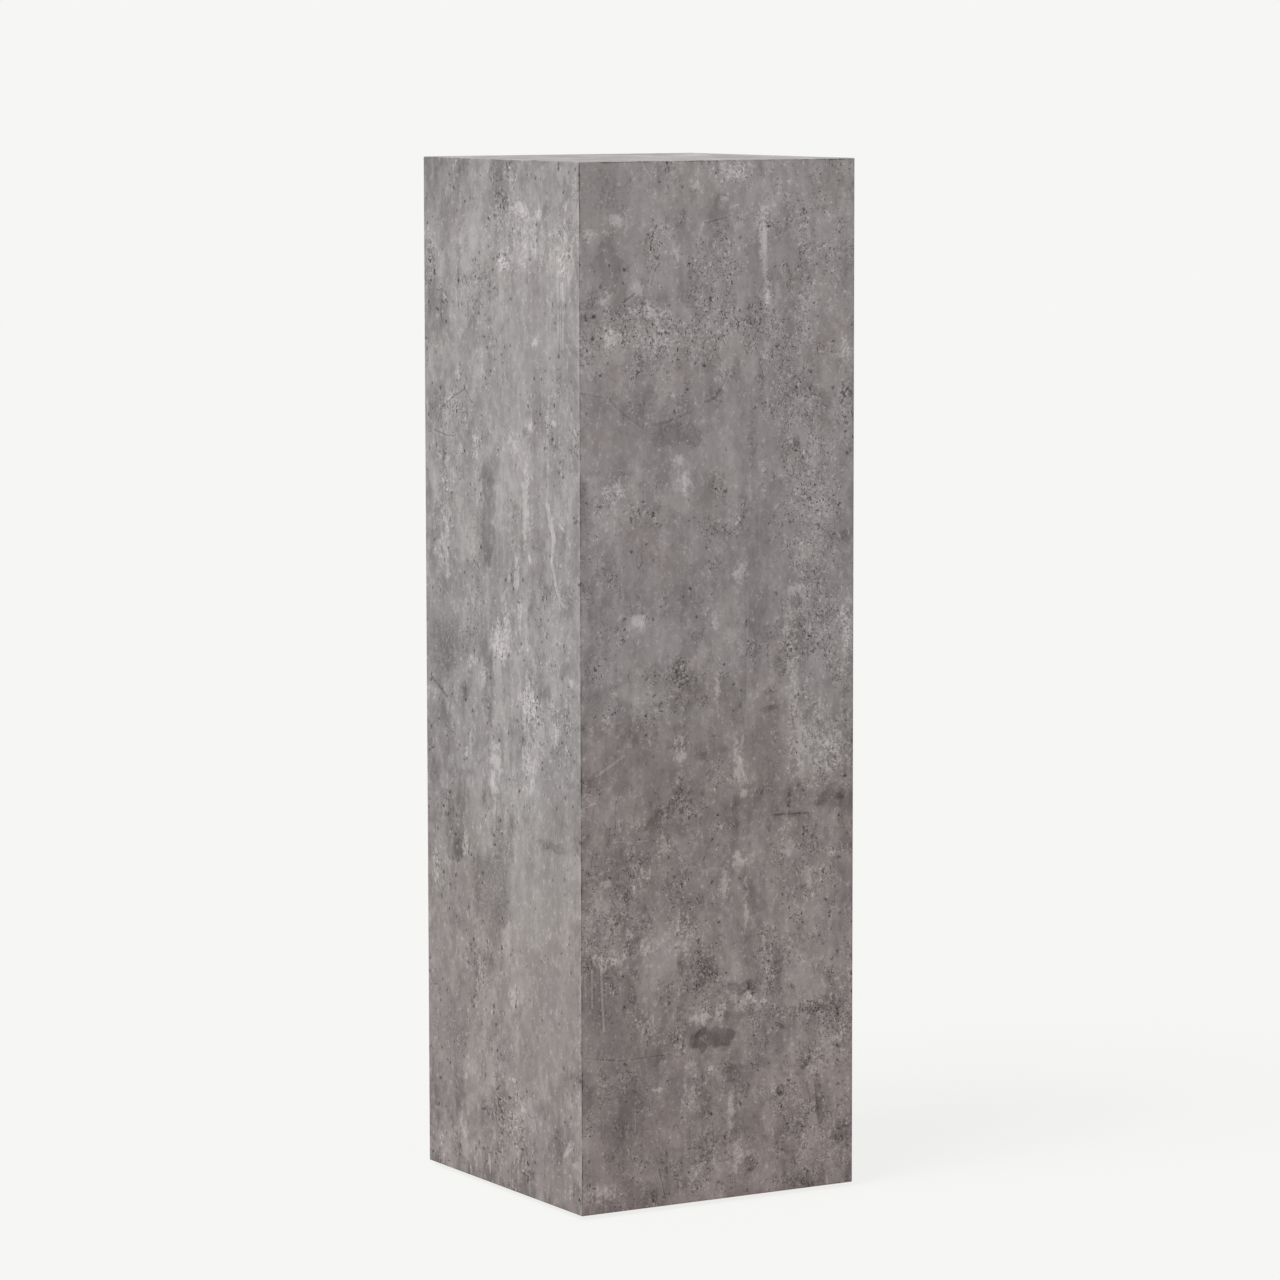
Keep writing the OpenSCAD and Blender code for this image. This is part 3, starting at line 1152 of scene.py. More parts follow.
@dataclass(frozen=True)
class StrewnLines:
    """Thin lines that wander downwards from random places. Sizes are in mm."""

    count: int = 12
    margin: float = 10
    height_share: tuple[float, float] = (0.1, 0.9)
    points: int = 5
    wander: float = 5
    drop: tuple[float, float] = (5, 14)
    inks: tuple[float, ...] = (0.16, 0.12, -0.14)
    width: tuple[float, float] = (0.8, 1.6)

    def strew(self, rng: np.random.Generator, height: float) -> list[Trail]:
        """Lines at random places, fewer where the face is lower than a wall.

        Args:
            rng: Where the random numbers come from.
            height: Height of the face, in mm.

        Returns:
            The lines.
        """
        lines = []
        for _ in range(round(self.count * height / FACE_H)):
            x = rng.uniform(self.margin, FACE_W - self.margin)
            y = rng.uniform(*self.height_share) * height
            bends = np.cumsum(rng.normal(0, self.wander, self.points))
            drop = rng.uniform(*self.drop)
            points = tuple((x + bend, y - index * drop) for index, bend in enumerate(bends))
            lines.append(Trail(points, float(rng.choice(self.inks)), rng.uniform(*self.width)))
        return lines


# What is strewn over the faces that the view hides or sees edge-on, in the order of the draws
STREWN = {
    "pale": (Handful(34, (4, 14), (6, 24), 0.9), Handful(8, (14, 30), (16, 40), 0.5)),
    "stains": (Handful(26, (5, 16), (5, 20), 0.9), Handful(6, (20, 44), (12, 40), 0.5)),
    "pitted": (Handful(16, (12, 40), (12, 36), 0.9),),
    "smooth": (Handful(9, (24, 56), (24, 60), 0.9),),
    "shades": (Handful(10, (30, 70), (40, 110), -0.06), Handful(8, (30, 60), (40, 90), 0.06)),
    "trails": (StrewnLines(),),
}


def scattered_print(seed: int, height: float, **levels: float) -> FacePrint:
    """A face that the view hides or sees edge-on, with spots and lines of the usual sizes.

    Args:
        seed: Fixes where everything lies.
        height: Height of the face, in mm.
        levels: Further values of the print.

    Returns:
        The print.
    """
    rng = np.random.default_rng(seed)
    marks = {
        kind: tuple(mark for strewer in strewers for mark in strewer.strew(rng, height))
        for kind, strewers in STREWN.items()}
    return FacePrint(seed, **marks, **levels)


LEFT_PRINT = FacePrint(
    seed=11,
    streaky=1.0,
    lightness=0.03,
    warmth=0.0,
    top_to_floor=-0.24,
    warmer_to_floor=0.72,
    warm_from=0.52,
    ochre_from=0.55,
    graininess=0.30,
    rub_left=-0.20,
    rub_right=0.20,
    rub_far=-0.30,
    pale=Blot.table(
        (192, 956, 9, 7, 0.9), (208, 944, 22, 16, 0.3), (228, 949, 8, 5, 0.9), (205, 922, 46, 28, 0.5),
        (281, 956, 4, 4, 1.4), (158, 898, 13, 8, 0.9), (278, 912, 20, 26, 0.6), (222, 826, 9, 5, 0.9),
        (180, 732, 17, 18, 0.7), (105, 722, 6, 20, 0.9), (256, 755, 9, 3, 1), (212, 749, 5, 4, 1.6, 30),
        (201, 672, 8, 34, 1.4), (183, 603, 5, 16, 1.4), (189, 568, 4, 14, 1.3), (158, 540, 18, 20, 1.1, 18),
        (94, 514, 12, 5, 0.8), (118, 502, 5, 10, 0.9), (208, 486, 14, 18, 1.1), (256, 462, 8, 20, 0.7),
        (289, 510, 6, 3, 1.4, 40), (140, 422, 14, 14, 1.3, 20), (135, 399, 7, 8, 1.3),
        (138, 366, 6, 12, 0.9), (210, 622, 3, 5, 1.6), (80, 425, 5, 6, 1.4), (212, 428, 17, 26, 0.7),
        (80, 335, 6, 10, 1.5), (173, 194, 6, 8, 1.1), (75, 50, 10, 10, 0.5), (278, 62, 13, 5, 1, -60),
        (40, 640, 16, 60, 0.54), (20, 300, 10, 20, 0.7),
    ),
    stains=Blot.table(
        (174, 993, 13, 8, 0.6), (70, 898, 6, 26, 0.7), (225, 660, 8, 40, 0.4),
        (129, 660, 13, 56, 1, 0, 4, 2.2), (203, 742, 9, 5, 1.2, -35), (68, 970, 12, 14, 0.6),
        (158, 962, 9, 20, 0.6), (42, 525, 40, 34, 0.65), (80, 480, 9, 10, 0.8), (132, 465, 7, 15, 0.7),
        (160, 488, 9, 12, 0.6), (117, 388, 5, 14, 0.9, 12), (252, 351, 32, 6, 0.85), (62, 328, 11, 12, 0.9),
        (128, 296, 40, 36, 0.6, 0, 4, 2.5), (145, 255, 10, 10, 0.6), (55, 145, 46, 42, 0.4),
        (260, 60, 19, 28, 0.45),
    ),
    shades=Blot.table(
        (60, 985, 110, 36, -0.06), (14, 560, 40, 480, -0.07), (190, 400, 32, 290, 0.03),
        (22, 553, 16, 18, 0.1), (32, 898, 12, 20, -0.12), (292, 888, 14, 30, 0.1), (110, 785, 14, 18, 0.1),
        (160, 548, 18, 38, 0.12), (90, 481, 12, 16, -0.13), (141, 408, 14, 20, 0.16),
        (172, 322, 30, 14, 0.12), (232, 10, 24, 12, -0.1), (286, 548, 22, 40, -0.06),
        (300, 36, 34, 36, -0.05), (85, 998, 100, 16, -0.16), (224, 682, 12, 20, -0.04, 0, 3, 3),
        (222, 640, 17, 14, -0.07, 0, 3, 3), (250, 175, 60, 70, -0.05), (60, 110, 40, 50, -0.05),
        (150, 690, 200, 60, 0.05), (170, 440, 160, 60, 0.04), (150, 30, 200, 60, -0.04),
        (38, 968, 30, 24, -0.2), (105, 918, 18, 20, 0.12), (182, 898, 34, 26, 0.16),
        (100, 954, 16, 18, -0.3), (275, 915, 26, 34, 0.12), (28, 855, 28, 28, -0.15),
        (112, 822, 14, 34, 0.15), (16, 822, 18, 18, -0.14), (194, 766, 16, 12, -0.23),
        (65, 792, 30, 14, 0.07), (20, 765, 24, 18, -0.13), (105, 740, 10, 12, 0.12),
        (155, 668, 14, 36, 0.09), (256, 624, 14, 50, 0.2), (94, 676, 18, 38, 0.16),
        (108, 608, 20, 24, -0.14), (14, 618, 22, 16, -0.12), (295, 694, 12, 46, -0.22),
        (100, 524, 24, 18, -0.28), (187, 486, 24, 26, 0.22), (286, 472, 16, 16, 0.12),
        (242, 540, 18, 18, -0.18), (60, 345, 24, 50, -0.2), (72, 413, 18, 20, -0.26),
        (184, 408, 32, 30, 0.28), (250, 370, 30, 26, -0.08), (76, 274, 22, 22, -0.15),
        (211, 280, 33, 42, 0.1, 0, 4, 2), (270, 296, 26, 26, 0.12), (45, 242, 24, 28, 0.07),
        (110, 200, 38, 22, -0.17), (54, 170, 22, 42, -0.17), (176, 195, 14, 14, 0.07),
        (170, 108, 26, 16, 0.22), (290, 122, 20, 20, 0.07), (245, 62, 34, 30, -0.24),
        # The last spot darkens a thin band along the floor edge: painted shade where the wall meets the
        # floor.
        (150, 26, 26, 16, -0.19), (150, 4, 170, 12, -0.15),
    ),
    pitted=Blot.table(
        (15, 900, 9, 24, 1.7), (152, 955, 16, 30, 1.4), (160, 908, 13, 13, 1.7), (124, 882, 12, 8, 1.3),
        (112, 880, 8, 7, 0.8), (173, 992, 13, 8, 0.9), (45, 858, 22, 12, 0.7), (60, 762, 38, 14, 1),
        (130, 788, 12, 8, 0.9), (206, 722, 8, 9, 0.9), (157, 540, 24, 26, 0.8), (212, 480, 20, 22, 1.1),
        (185, 458, 16, 8, 1.1), (296, 470, 10, 12, 1), (47, 382, 9, 9, 1), (202, 384, 14, 6, 0.9),
        (15, 310, 18, 12, 0.8), (100, 220, 26, 16, 0.8), (142, 75, 13, 52, 1.1), (185, 55, 11, 34, 1.1),
        (92, 72, 9, 12, 0.8),
    ),
    smooth=Blot.table(
        (205, 830, 50, 48, 1), (129, 660, 15, 56, 1), (224, 680, 12, 22, 1), (222, 642, 16, 14, 1),
        (42, 525, 40, 34, 0.8), (260, 390, 44, 42, 0.8), (130, 296, 46, 40, 0.8), (240, 265, 60, 72, 1.1),
        (55, 145, 50, 44, 0.8), (245, 175, 60, 70, 0.7), (40, 250, 50, 50, 0.6), (255, 40, 44, 40, 0.5),
    ),
    trails=Trail.table(
        (0.16, 4, 265, 896, 266, 860, 265, 822), (0.16, 4, 274, 888, 275, 850, 274, 826),
        (-0.18, 2.2, 28, 742, 36, 758, 58, 768, 84, 778, 94, 768),
        (0.17, 5, 247, 778, 244, 745, 246, 710, 244, 676), (0.28, 8, 244, 676, 249, 660, 256, 645),
        (0.26, 5, 256, 645, 252, 622, 258, 604, 266, 590), (0.2, 4.4, 252, 664, 263, 661, 276, 654),
        (0.2, 4, 266, 590, 272, 584, 280, 582), (-0.24, 3, 90, 862, 90, 848),
        (-0.18, 1.8, 20, 734, 48, 730, 62, 731), (0.22, 5.6, 170, 602, 164, 590, 155, 578),
        (-0.26, 3.6, 12, 490, 28, 482, 43, 474), (0.2, 2.4, 183, 100, 193, 92, 202, 83),
        (0.2, 2.4, 213, 82, 220, 68), (0.24, 3, 125, 32, 126, 14), (-0.26, 2.6, 141, 131, 146, 128),
        (-0.24, 2.4, 139, 99, 144, 101, 145, 104), (-0.3, 2.4, 142, 91, 148, 90),
        (-0.3, 2.6, 143, 87, 144, 84, 148, 82, 150, 79), (-0.22, 2.4, 135, 74, 138, 75),
        (-0.28, 2.8, 149, 73, 153, 72), (-0.2, 2.2, 148, 57, 152, 58), (-0.24, 2.6, 140, 44, 142, 43),
        (-0.28, 2.4, 142, 39, 149, 38), (-0.26, 3.4, 112, 36, 115, 36),
        (-0.22, 2.8, 110, 75, 118, 76, 125, 71), (-0.22, 2.2, 163, 96, 170, 95),
        (-0.24, 2.4, 165, 75, 169, 75), (-0.32, 3, 175, 51, 178, 52), (-0.28, 2.4, 187, 49, 194, 49),
        (-0.22, 2.4, 191, 57, 189, 60, 190, 66, 195, 70), (-0.22, 2.4, 190, 77, 193, 77),
        (-0.26, 3, 200, 38, 203, 34), (-0.22, 2.2, 189, 26, 203, 24, 200, 20),
        (-0.24, 1.8, 186, 99, 192, 95, 196, 89, 201, 85, 213, 82), (0.22, 2.4, 184, 97, 188, 92, 193, 86),
        (0.3, 4, 172, 114, 176, 113), (0.28, 4, 122, 24, 125, 22), (-0.3, 2.6, 148, 907, 153, 906),
        (-0.34, 3.2, 161, 909, 165, 910), (0.34, 2.2, 150, 903, 156, 904, 160, 908),
        (-0.22, 1.6, 156, 902, 166, 904, 178, 904), (-0.24, 2.2, 160, 896, 164, 896),
        (-0.32, 3.4, 131, 943, 134, 942), (-0.26, 3.4, 143, 947, 147, 946), (-0.2, 3.2, 147, 959, 151, 958),
        (-0.24, 2.2, 188, 946, 192, 946), (-0.28, 2, 197, 948, 199, 949), (-0.2, 3.6, 131, 873, 135, 873),
        (-0.28, 4, 10, 918, 15, 917), (-0.34, 3.2, 9, 909, 14, 907), (-0.34, 3.2, 11, 900, 15, 900),
        (-0.24, 2.2, 15, 912, 17, 907), (-0.28, 2.2, 19, 903, 23, 905), (-0.28, 3, 22, 890, 23, 887),
        (-0.26, 3.2, 13, 880, 16, 880), (-0.24, 2.4, 34, 877, 37, 877), (-0.18, 1.8, 27, 871, 38, 871),
        (-0.26, 2.8, 45, 870, 46, 866), (-0.24, 2.4, 45, 863, 48, 860), (-0.26, 2.2, 37, 861, 41, 859),
        (0.26, 2.4, 39, 868, 44, 865), (-0.26, 3.6, 26, 853, 29, 852),
        (-0.2, 1, 304.4, 997, 304.4, 972, 304.4, 948),
    ),
)

FRONT_PRINT = FacePrint(
    seed=23,
    streaky=0.9,
    lightness=0.085,
    warmth=0.45,
    top_to_floor=-0.28,
    warmer_to_floor=0.68,
    ochre_from=0.45,
    graininess=0.44,
    rub_left=-0.65,
    rub_right=-0.20,
    rub_far=-0.85,
    pale=Blot.table(
        (42, 945, 9, 8, 1.4), (12, 934, 7, 6, 1), (30, 932, 6, 3, 1), (128, 975, 6, 8, 1, -20),
        (168, 988, 18, 12, 0.6), (203, 925, 5, 34, 1), (205, 872, 4, 14, 1), (64, 880, 6, 9, 1.4),
        (28, 875, 8, 5, 1.2, -30), (76, 858, 20, 4, 1.2), (35, 836, 9, 8, 1.4), (106, 910, 3, 14, 0.9),
        (90, 838, 14, 10, 0.6), (292, 815, 9, 18, 0.8), (106, 718, 7, 5, 1.2), (116, 697, 6, 14, 0.9),
        (40, 690, 14, 14, 0.6), (240, 590, 14, 6, 1.1), (232, 550, 6, 34, 0.7), (62, 567, 6, 8, 2, 0, 3),
        (176, 606, 8, 14, 1), (148, 562, 5, 8, 1.2), (294, 552, 6, 34, 0.9), (236, 500, 6, 28, 0.8),
        (268, 438, 34, 36, 0.7), (240, 445, 7, 30, 0.7), (109, 444, 6, 26, 0.8), (174, 426, 7, 22, 1),
        (180, 396, 4, 6, 1.4), (150, 495, 4, 16, 0.9), (90, 350, 7, 14, 0.8), (174, 334, 9, 10, 1),
        (228, 345, 8, 18, 0.6), (28, 320, 5, 4, 1.4), (55, 270, 8, 4, 0.7, 20), (32, 248, 22, 9, 0.9),
        (72, 252, 6, 12, 0.7), (157, 308, 4, 14, 1.4), (182, 285, 3, 34, 0.9), (182, 192, 13, 9, 1.1),
        (132, 184, 9, 7, 1.4), (154, 186, 5, 9, 1.2), (121, 139, 6, 6, 1.2), (144, 133, 6, 3, 1.2),
        (83, 118, 6, 2, 1.2), (118, 100, 12, 10, 0.8), (166, 91, 4, 22, 1.1), (172, 42, 5, 16, 0.9),
        (22, 22, 16, 9, 0.8), (290, 150, 10, 12, 0.6), (110, 268, 26, 24, 0.35), (75, 180, 14, 18, 0.46),
    ),
    stains=Blot.table(
        (31, 904, 13, 26, 1.1, 0, 3, 2), (30, 968, 34, 26, 0.45), (148, 782, 9, 12, 0.9, 30),
        (190, 735, 6, 36, 0.6), (106, 742, 30, 12, 0.6, 0, 3, 1.8), (15, 710, 14, 10, 0.5),
        (80, 760, 60, 20, 0.35), (272, 772, 8, 9, 0.8), (240, 728, 6, 9, 0.8), (290, 638, 7, 10, 0.7),
        (241, 575, 6, 6, 0.8), (241, 545, 9, 16, 0.9, 0, 3, 3), (130, 547, 7, 11, 0.75, 25),
        (108, 514, 28, 14, 0.5), (130, 490, 12, 22, 0.5), (294, 485, 7, 5, 0.8), (208, 493, 10, 3, 0.7),
        (210, 476, 12, 3, 0.7), (177, 481, 3, 5, 0.9), (132, 435, 8, 5, 0.8), (108, 404, 5, 8, 0.9, 40),
        (99, 384, 7, 14, 0.7), (235, 372, 22, 3, 0.8), (232, 385, 3, 15, 0.7), (287, 387, 3, 3, 0.8),
        (270, 388, 34, 11, 0.5), (133, 298, 9, 9, 0.6), (136, 228, 12, 24, 0.9), (109, 240, 3, 13, 1.5),
        (144, 162, 22, 9, 3.5, 0, 5, 2), (178, 209, 14, 6, 1.8, 0, 4, 2), (102, 163, 15, 13, 0.4),
        (161, 181, 4, 10, 0.9), (218, 232, 14, 20, 0.6), (258, 180, 40, 6, 0.7), (285, 168, 14, 18, 0.6),
        (163, 129, 14, 9, 0.8), (30, 196, 30, 34, 0.35), (220, 103, 5, 6, 2.4, 0, 3),
        (266, 88, 4, 28, 1.3, -6), (251, 128, 7, 4, 1.8, -30), (289, 56, 10, 12, 1.1),
        (45, 130, 46, 24, 0.35), (95, 30, 10, 14, 0.5), (186, 35, 6, 8, 1.3), (235, 12, 26, 8, 0.6),
        (55, 70, 44, 40, 0.35), (215, 440, 14, 60, 0.35),
    ),
    shades=Blot.table(
        (150, 985, 200, 60, 0.05), (20, 480, 46, 330, -0.045), (277, 989, 16, 12, 0.11),
        (158, 783, 12, 10, -0.13), (225, 550, 10, 18, -0.14), (210, 495, 12, 12, -0.12),
        (137, 277, 12, 14, -0.15), (184, 157, 8, 10, -0.12), (284, 167, 14, 14, 0.11),
        (195, 127, 12, 12, 0.1), (229, 30, 16, 14, 0.11), (171, 9, 20, 10, 0.1), (60, 45, 70, 46, -0.06),
        (290, 548, 22, 44, 0.05), (292, 452, 26, 36, -0.05), (112, 660, 34, 40, 0.04),
        (186, 750, 36, 36, -0.04), (190, 550, 40, 50, -0.03), (46, 987, 40, 12, -0.15),
        (190, 985, 26, 18, 0.16), (190, 920, 20, 40, 0.15), (30, 905, 14, 26, 0.08),
        (108, 915, 12, 14, 0.13), (76, 890, 18, 24, 0.18), (166, 915, 14, 22, 0.1), (26, 830, 26, 24, 0.18),
        (155, 820, 12, 10, 0.09), (277, 828, 22, 26, 0.25), (62, 790, 18, 14, 0.2), (193, 849, 14, 12, 0.1),
        (188, 780, 18, 18, -0.09), (15, 775, 20, 14, -0.1), (116, 685, 13, 24, 0.13),
        (120, 654, 12, 26, 0.22), (275, 614, 18, 18, 0.21), (136, 540, 12, 16, -0.12),
        (40, 670, 24, 30, 0.08), (249, 622, 16, 36, 0.21), (222, 716, 20, 28, 0.25),
        (194, 628, 12, 14, -0.09), (40, 575, 26, 16, -0.09), (197, 560, 16, 36, -0.16),
        (288, 538, 18, 40, 0.2), (265, 460, 34, 40, 0.04), (150, 400, 200, 90, -0.11),
        (10, 430, 18, 40, -0.09), (265, 388, 44, 14, -0.1), (100, 315, 14, 20, -0.08),
        (201, 318, 16, 16, -0.2), (150, 328, 12, 14, -0.12), (28, 283, 28, 32, 0.18),
        (85, 245, 20, 24, 0.12), (160, 246, 14, 18, 0.1), (232, 225, 18, 22, 0.1), (277, 212, 18, 20, 0.15),
        (218, 190, 14, 13, 0.21), (15, 175, 26, 40, -0.04), (50, 98, 46, 36, -0.17), (24, 22, 22, 16, 0.13),
        (144, 162, 27, 12, -0.09, 0, 5, 3), (80, 12, 40, 10, -0.1), (232, 125, 28, 22, 0.19),
        (283, 105, 18, 30, 0.23), (232, 82, 14, 18, 0.12), (178, 100, 14, 14, 0.12),
        (130, 16, 20, 12, -0.12), (140, 60, 20, 14, -0.08),
    ),
    pitted=Blot.table(
        (100, 835, 100, 26, 1.1), (85, 838, 40, 18, 0.6), (145, 890, 34, 34, 0.7), (168, 988, 18, 12, 0.9),
        (84, 920, 9, 18, 1.1), (228, 760, 30, 44, 0.9), (295, 772, 10, 16, 1.3), (260, 900, 44, 90, 0.35),
        (256, 630, 34, 56, 0.9), (265, 700, 34, 34, 0.6), (262, 570, 22, 34, 0.8), (22, 608, 14, 12, 0.7),
        (112, 505, 32, 26, 0.5), (102, 163, 16, 14, 0.8), (250, 180, 50, 9, 0.8), (270, 440, 34, 40, 0.35),
        (112, 396, 24, 20, 1.2), (40, 285, 36, 44, 0.6), (134, 232, 22, 30, 0.6), (220, 225, 44, 40, 0.7),
        (278, 165, 26, 36, 0.8), (225, 75, 22, 26, 0.4), (285, 60, 20, 40, 0.6), (160, 120, 26, 22, 0.5),
        (110, 30, 40, 26, 0.3),
    ),
    smooth=Blot.table(
        (35, 960, 40, 38, 1), (30, 900, 16, 30, 0.9), (95, 742, 90, 28, 1), (190, 735, 14, 44, 0.8),
        (90, 620, 60, 50, 0.5), (205, 600, 30, 60, 0.7), (150, 450, 60, 40, 0.5), (210, 440, 24, 50, 0.8),
        (70, 420, 50, 34, 0.7), (25, 190, 26, 44, 0.8), (50, 90, 50, 44, 0.6), (143, 162, 28, 12, 1.3),
        (106, 742, 26, 11, 1), (40, 24, 38, 16, 0.7), (30, 965, 34, 26, 0.6), (175, 285, 20, 40, 0.5),
    ),
    trails=Trail.table(
        (-0.18, 1.4, 0.8, 999, 0.8, 958), (-0.28, 2.8, 291, 787, 291, 781),
        (-0.4, 3.4, 290, 776, 292, 775.6), (-0.28, 2.6, 291, 769, 290, 766),
        (-0.2, 1.6, 295, 778, 294, 773), (-0.26, 1.8, 300, 779, 300, 772), (0.2, 2, 287, 780, 289, 779),
        (-0.24, 2.2, 285, 749, 287, 746), (-0.36, 2.6, 295, 747, 297, 746), (-0.26, 2, 302, 757, 302, 753),
        (-0.22, 5, 219, 105, 221, 101), (-0.14, 3, 252, 108, 254, 98, 258, 88),
        (-0.28, 2.2, 259, 93, 261, 91), (-0.16, 5, 247, 124, 252, 128, 256, 127),
        (-0.12, 3.2, 261, 108, 262, 92, 264, 78, 266, 66), (-0.24, 4, 234, 205, 238, 203),
        (-0.2, 4.4, 217, 169, 224, 165), (-0.24, 3, 266, 156, 269, 149), (-0.26, 3.2, 250, 23, 253, 21),
        (-0.3, 2.2, 230, 113, 232, 112), (0.22, 1.4, 68, 999, 72, 992, 78, 985, 77, 970),
        (0.16, 1.2, 130, 999, 129, 984), (-0.34, 1.6, 84, 940, 80, 930, 77, 917, 84, 908, 88, 913),
        (-0.22, 1.4, 88, 905, 82, 898, 78, 884), (0.2, 1.2, 80, 924, 84, 931, 92, 932, 99, 926),
        (0.22, 1.4, 60, 905, 63, 896), (-0.26, 1.8, 48, 869, 60, 876), (-0.16, 1.2, 115, 863, 137, 861),
        (-0.16, 1.4, 136, 941, 152, 944, 166, 948),
        (-0.1, 2.6, 0, 785, 30, 780, 50, 762, 66, 752, 92, 754, 122, 764),
        (-0.16, 3, 136, 772, 148, 776, 158, 790, 163, 802),
        (-0.15, 1, 63, 634, 61, 626, 64, 616, 68, 624, 66, 633), (-0.12, 1.2, 252, 520, 253, 560, 251, 590),
        (0.18, 2.8, 17, 424, 30, 431, 47, 441), (-0.2, 1, 48, 413, 42, 405, 38, 394, 37, 361),
        (0.16, 1.2, 40, 360, 56, 358, 76, 359), (-0.12, 1.4, 216, 373, 254, 372),
        (-0.1, 0.8, 258, 362, 270, 356, 302, 354), (0.08, 2.6, 184, 590, 185, 540, 184, 490, 182, 450),
        (0.2, 3.2, 180, 452, 175, 436, 178, 420, 184, 406), (0.24, 2.4, 22, 242, 23, 210, 25, 180),
        (0.2, 2, 12, 240, 12, 204), (0.16, 1.2, 4, 238, 5, 214),
        (0.1, 4.6, 202, 966, 203, 932, 204, 900, 206, 866), (-0.14, 1.2, 3, 156, 40, 150, 100, 151),
        (0.16, 1.4, 59, 104, 59, 80), (-0.16, 1.4, 85, 40, 90, 22, 92, 12),
        (-0.12, 1.2, 145, 80, 146, 60, 144, 45),
    ),
)


@dataclass
class LaminateCover:
    """The five sheets that cover the box: four walls and the top."""

    finish: ConcretePrint = field(default_factory=ConcretePrint)

    def sheets(self) -> list[LaminateSheet]:
        """The sheets, each with its print and the ways that it faces."""
        up = Vector((0, 0, 1))
        right = Vector((1, 0, 0))
        back = Vector((0, 1, 0))
        hidden = {"lightness": 0.0, "warmth": 0.25}
        back_print = scattered_print(37, FACE_H, **hidden)
        right_print = scattered_print(41, FACE_H, **hidden)
        # The top's print carries painted light: it is darkened all over as painted shade, lightened towards
        # its front edge as a painted sheen, with a pale painted highlight along that edge and dark lines
        # along its back and right edges.
        top_print = scattered_print(
            53, FACE_D, top_to_floor=0.10, warmer_to_floor=0.0, contrast=0.6, graininess=0.1,
            lightness=-0.13, ochre_from=1.0, rub_left=0.1, rub_right=-0.5, rub_far=-0.6, rub_near=0.15)
        return [
            LaminateSheet("front_laminate", FRONT_PRINT, right, up, back, SheetEnd.FEATHERED),
            LaminateSheet("left_laminate", LEFT_PRINT, -back, up, right, SheetEnd.FEATHERED),
            LaminateSheet("back_laminate", back_print, -right, up, -back, SheetEnd.FEATHERED),
            LaminateSheet("right_laminate", right_print, back, up, -right, SheetEnd.FEATHERED),
            LaminateSheet("top_laminate", top_print, right, back, -up, SheetEnd.MITRED),
        ]

    def build(self) -> list[bpy.types.Object]:
        """Makes the sheets in one finish."""
        material = self.finish.material()
        return [sheet.build(material) for sheet in self.sheets()]


def dress(node: str, material: bpy.types.Material) -> bpy.types.Object:
    """Gives a node of the frame its finish and leaves its shape alone.

    Args:
        node: The node's name.
        material: Its finish.

    Returns:
        The node's object.
    """
    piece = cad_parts[node]
    piece.data.materials.clear()
    piece.data.materials.append(material)
    return piece


@dataclass
class BoardBox:
    """The box under the laminate: boards, battens, cleats, the diaphragm and the screwed base."""

    sides: tuple[str, ...] = ("front", "right", "back", "left")
    boards: tuple[str, ...] = ("top_panel", "diaphragm", "base_board")

    def build(self) -> list[bpy.types.Object]:
        """Dresses every piece of the box."""
        fibreboard = Fibreboard().material()
        pine = {grain: Softwood(grain=grain).material() for grain in Grain}
        zinc = ZincPlate().material()
        pieces = [dress(side + "_panel", fibreboard) for side in self.sides]
        pieces += [dress(name, fibreboard) for name in self.boards]
        for depth in ("front", "back"):
            for side in ("left", "right"):
                pieces.append(dress(f"corner_batten_{depth}_{side}", pine[Grain.UPRIGHT]))
        for place in ("top", "base"):
            for side in self.sides:
                grain = Grain.ALONG_X if side in ("front", "back") else Grain.ALONG_Y
                pieces.append(dress(f"{place}_cleat_{side}", pine[grain]))
        pieces.append(dress("base_screws", zinc))
        return pieces


@dataclass
class GlideSet:
    """The four glides under the base, and the nails that they are moulded on."""

    def build(self) -> list[bpy.types.Object]:
        """Dresses the glides and their nails."""
        plastic = GlidePlastic().material()
        names = [f"glide_{depth}_{side}" for depth in ("front", "back") for side in ("left", "right")]
        pieces = [dress(name, plastic) for name in names]
        pieces.append(dress("glide_nails", ZincPlate().material()))
        return pieces


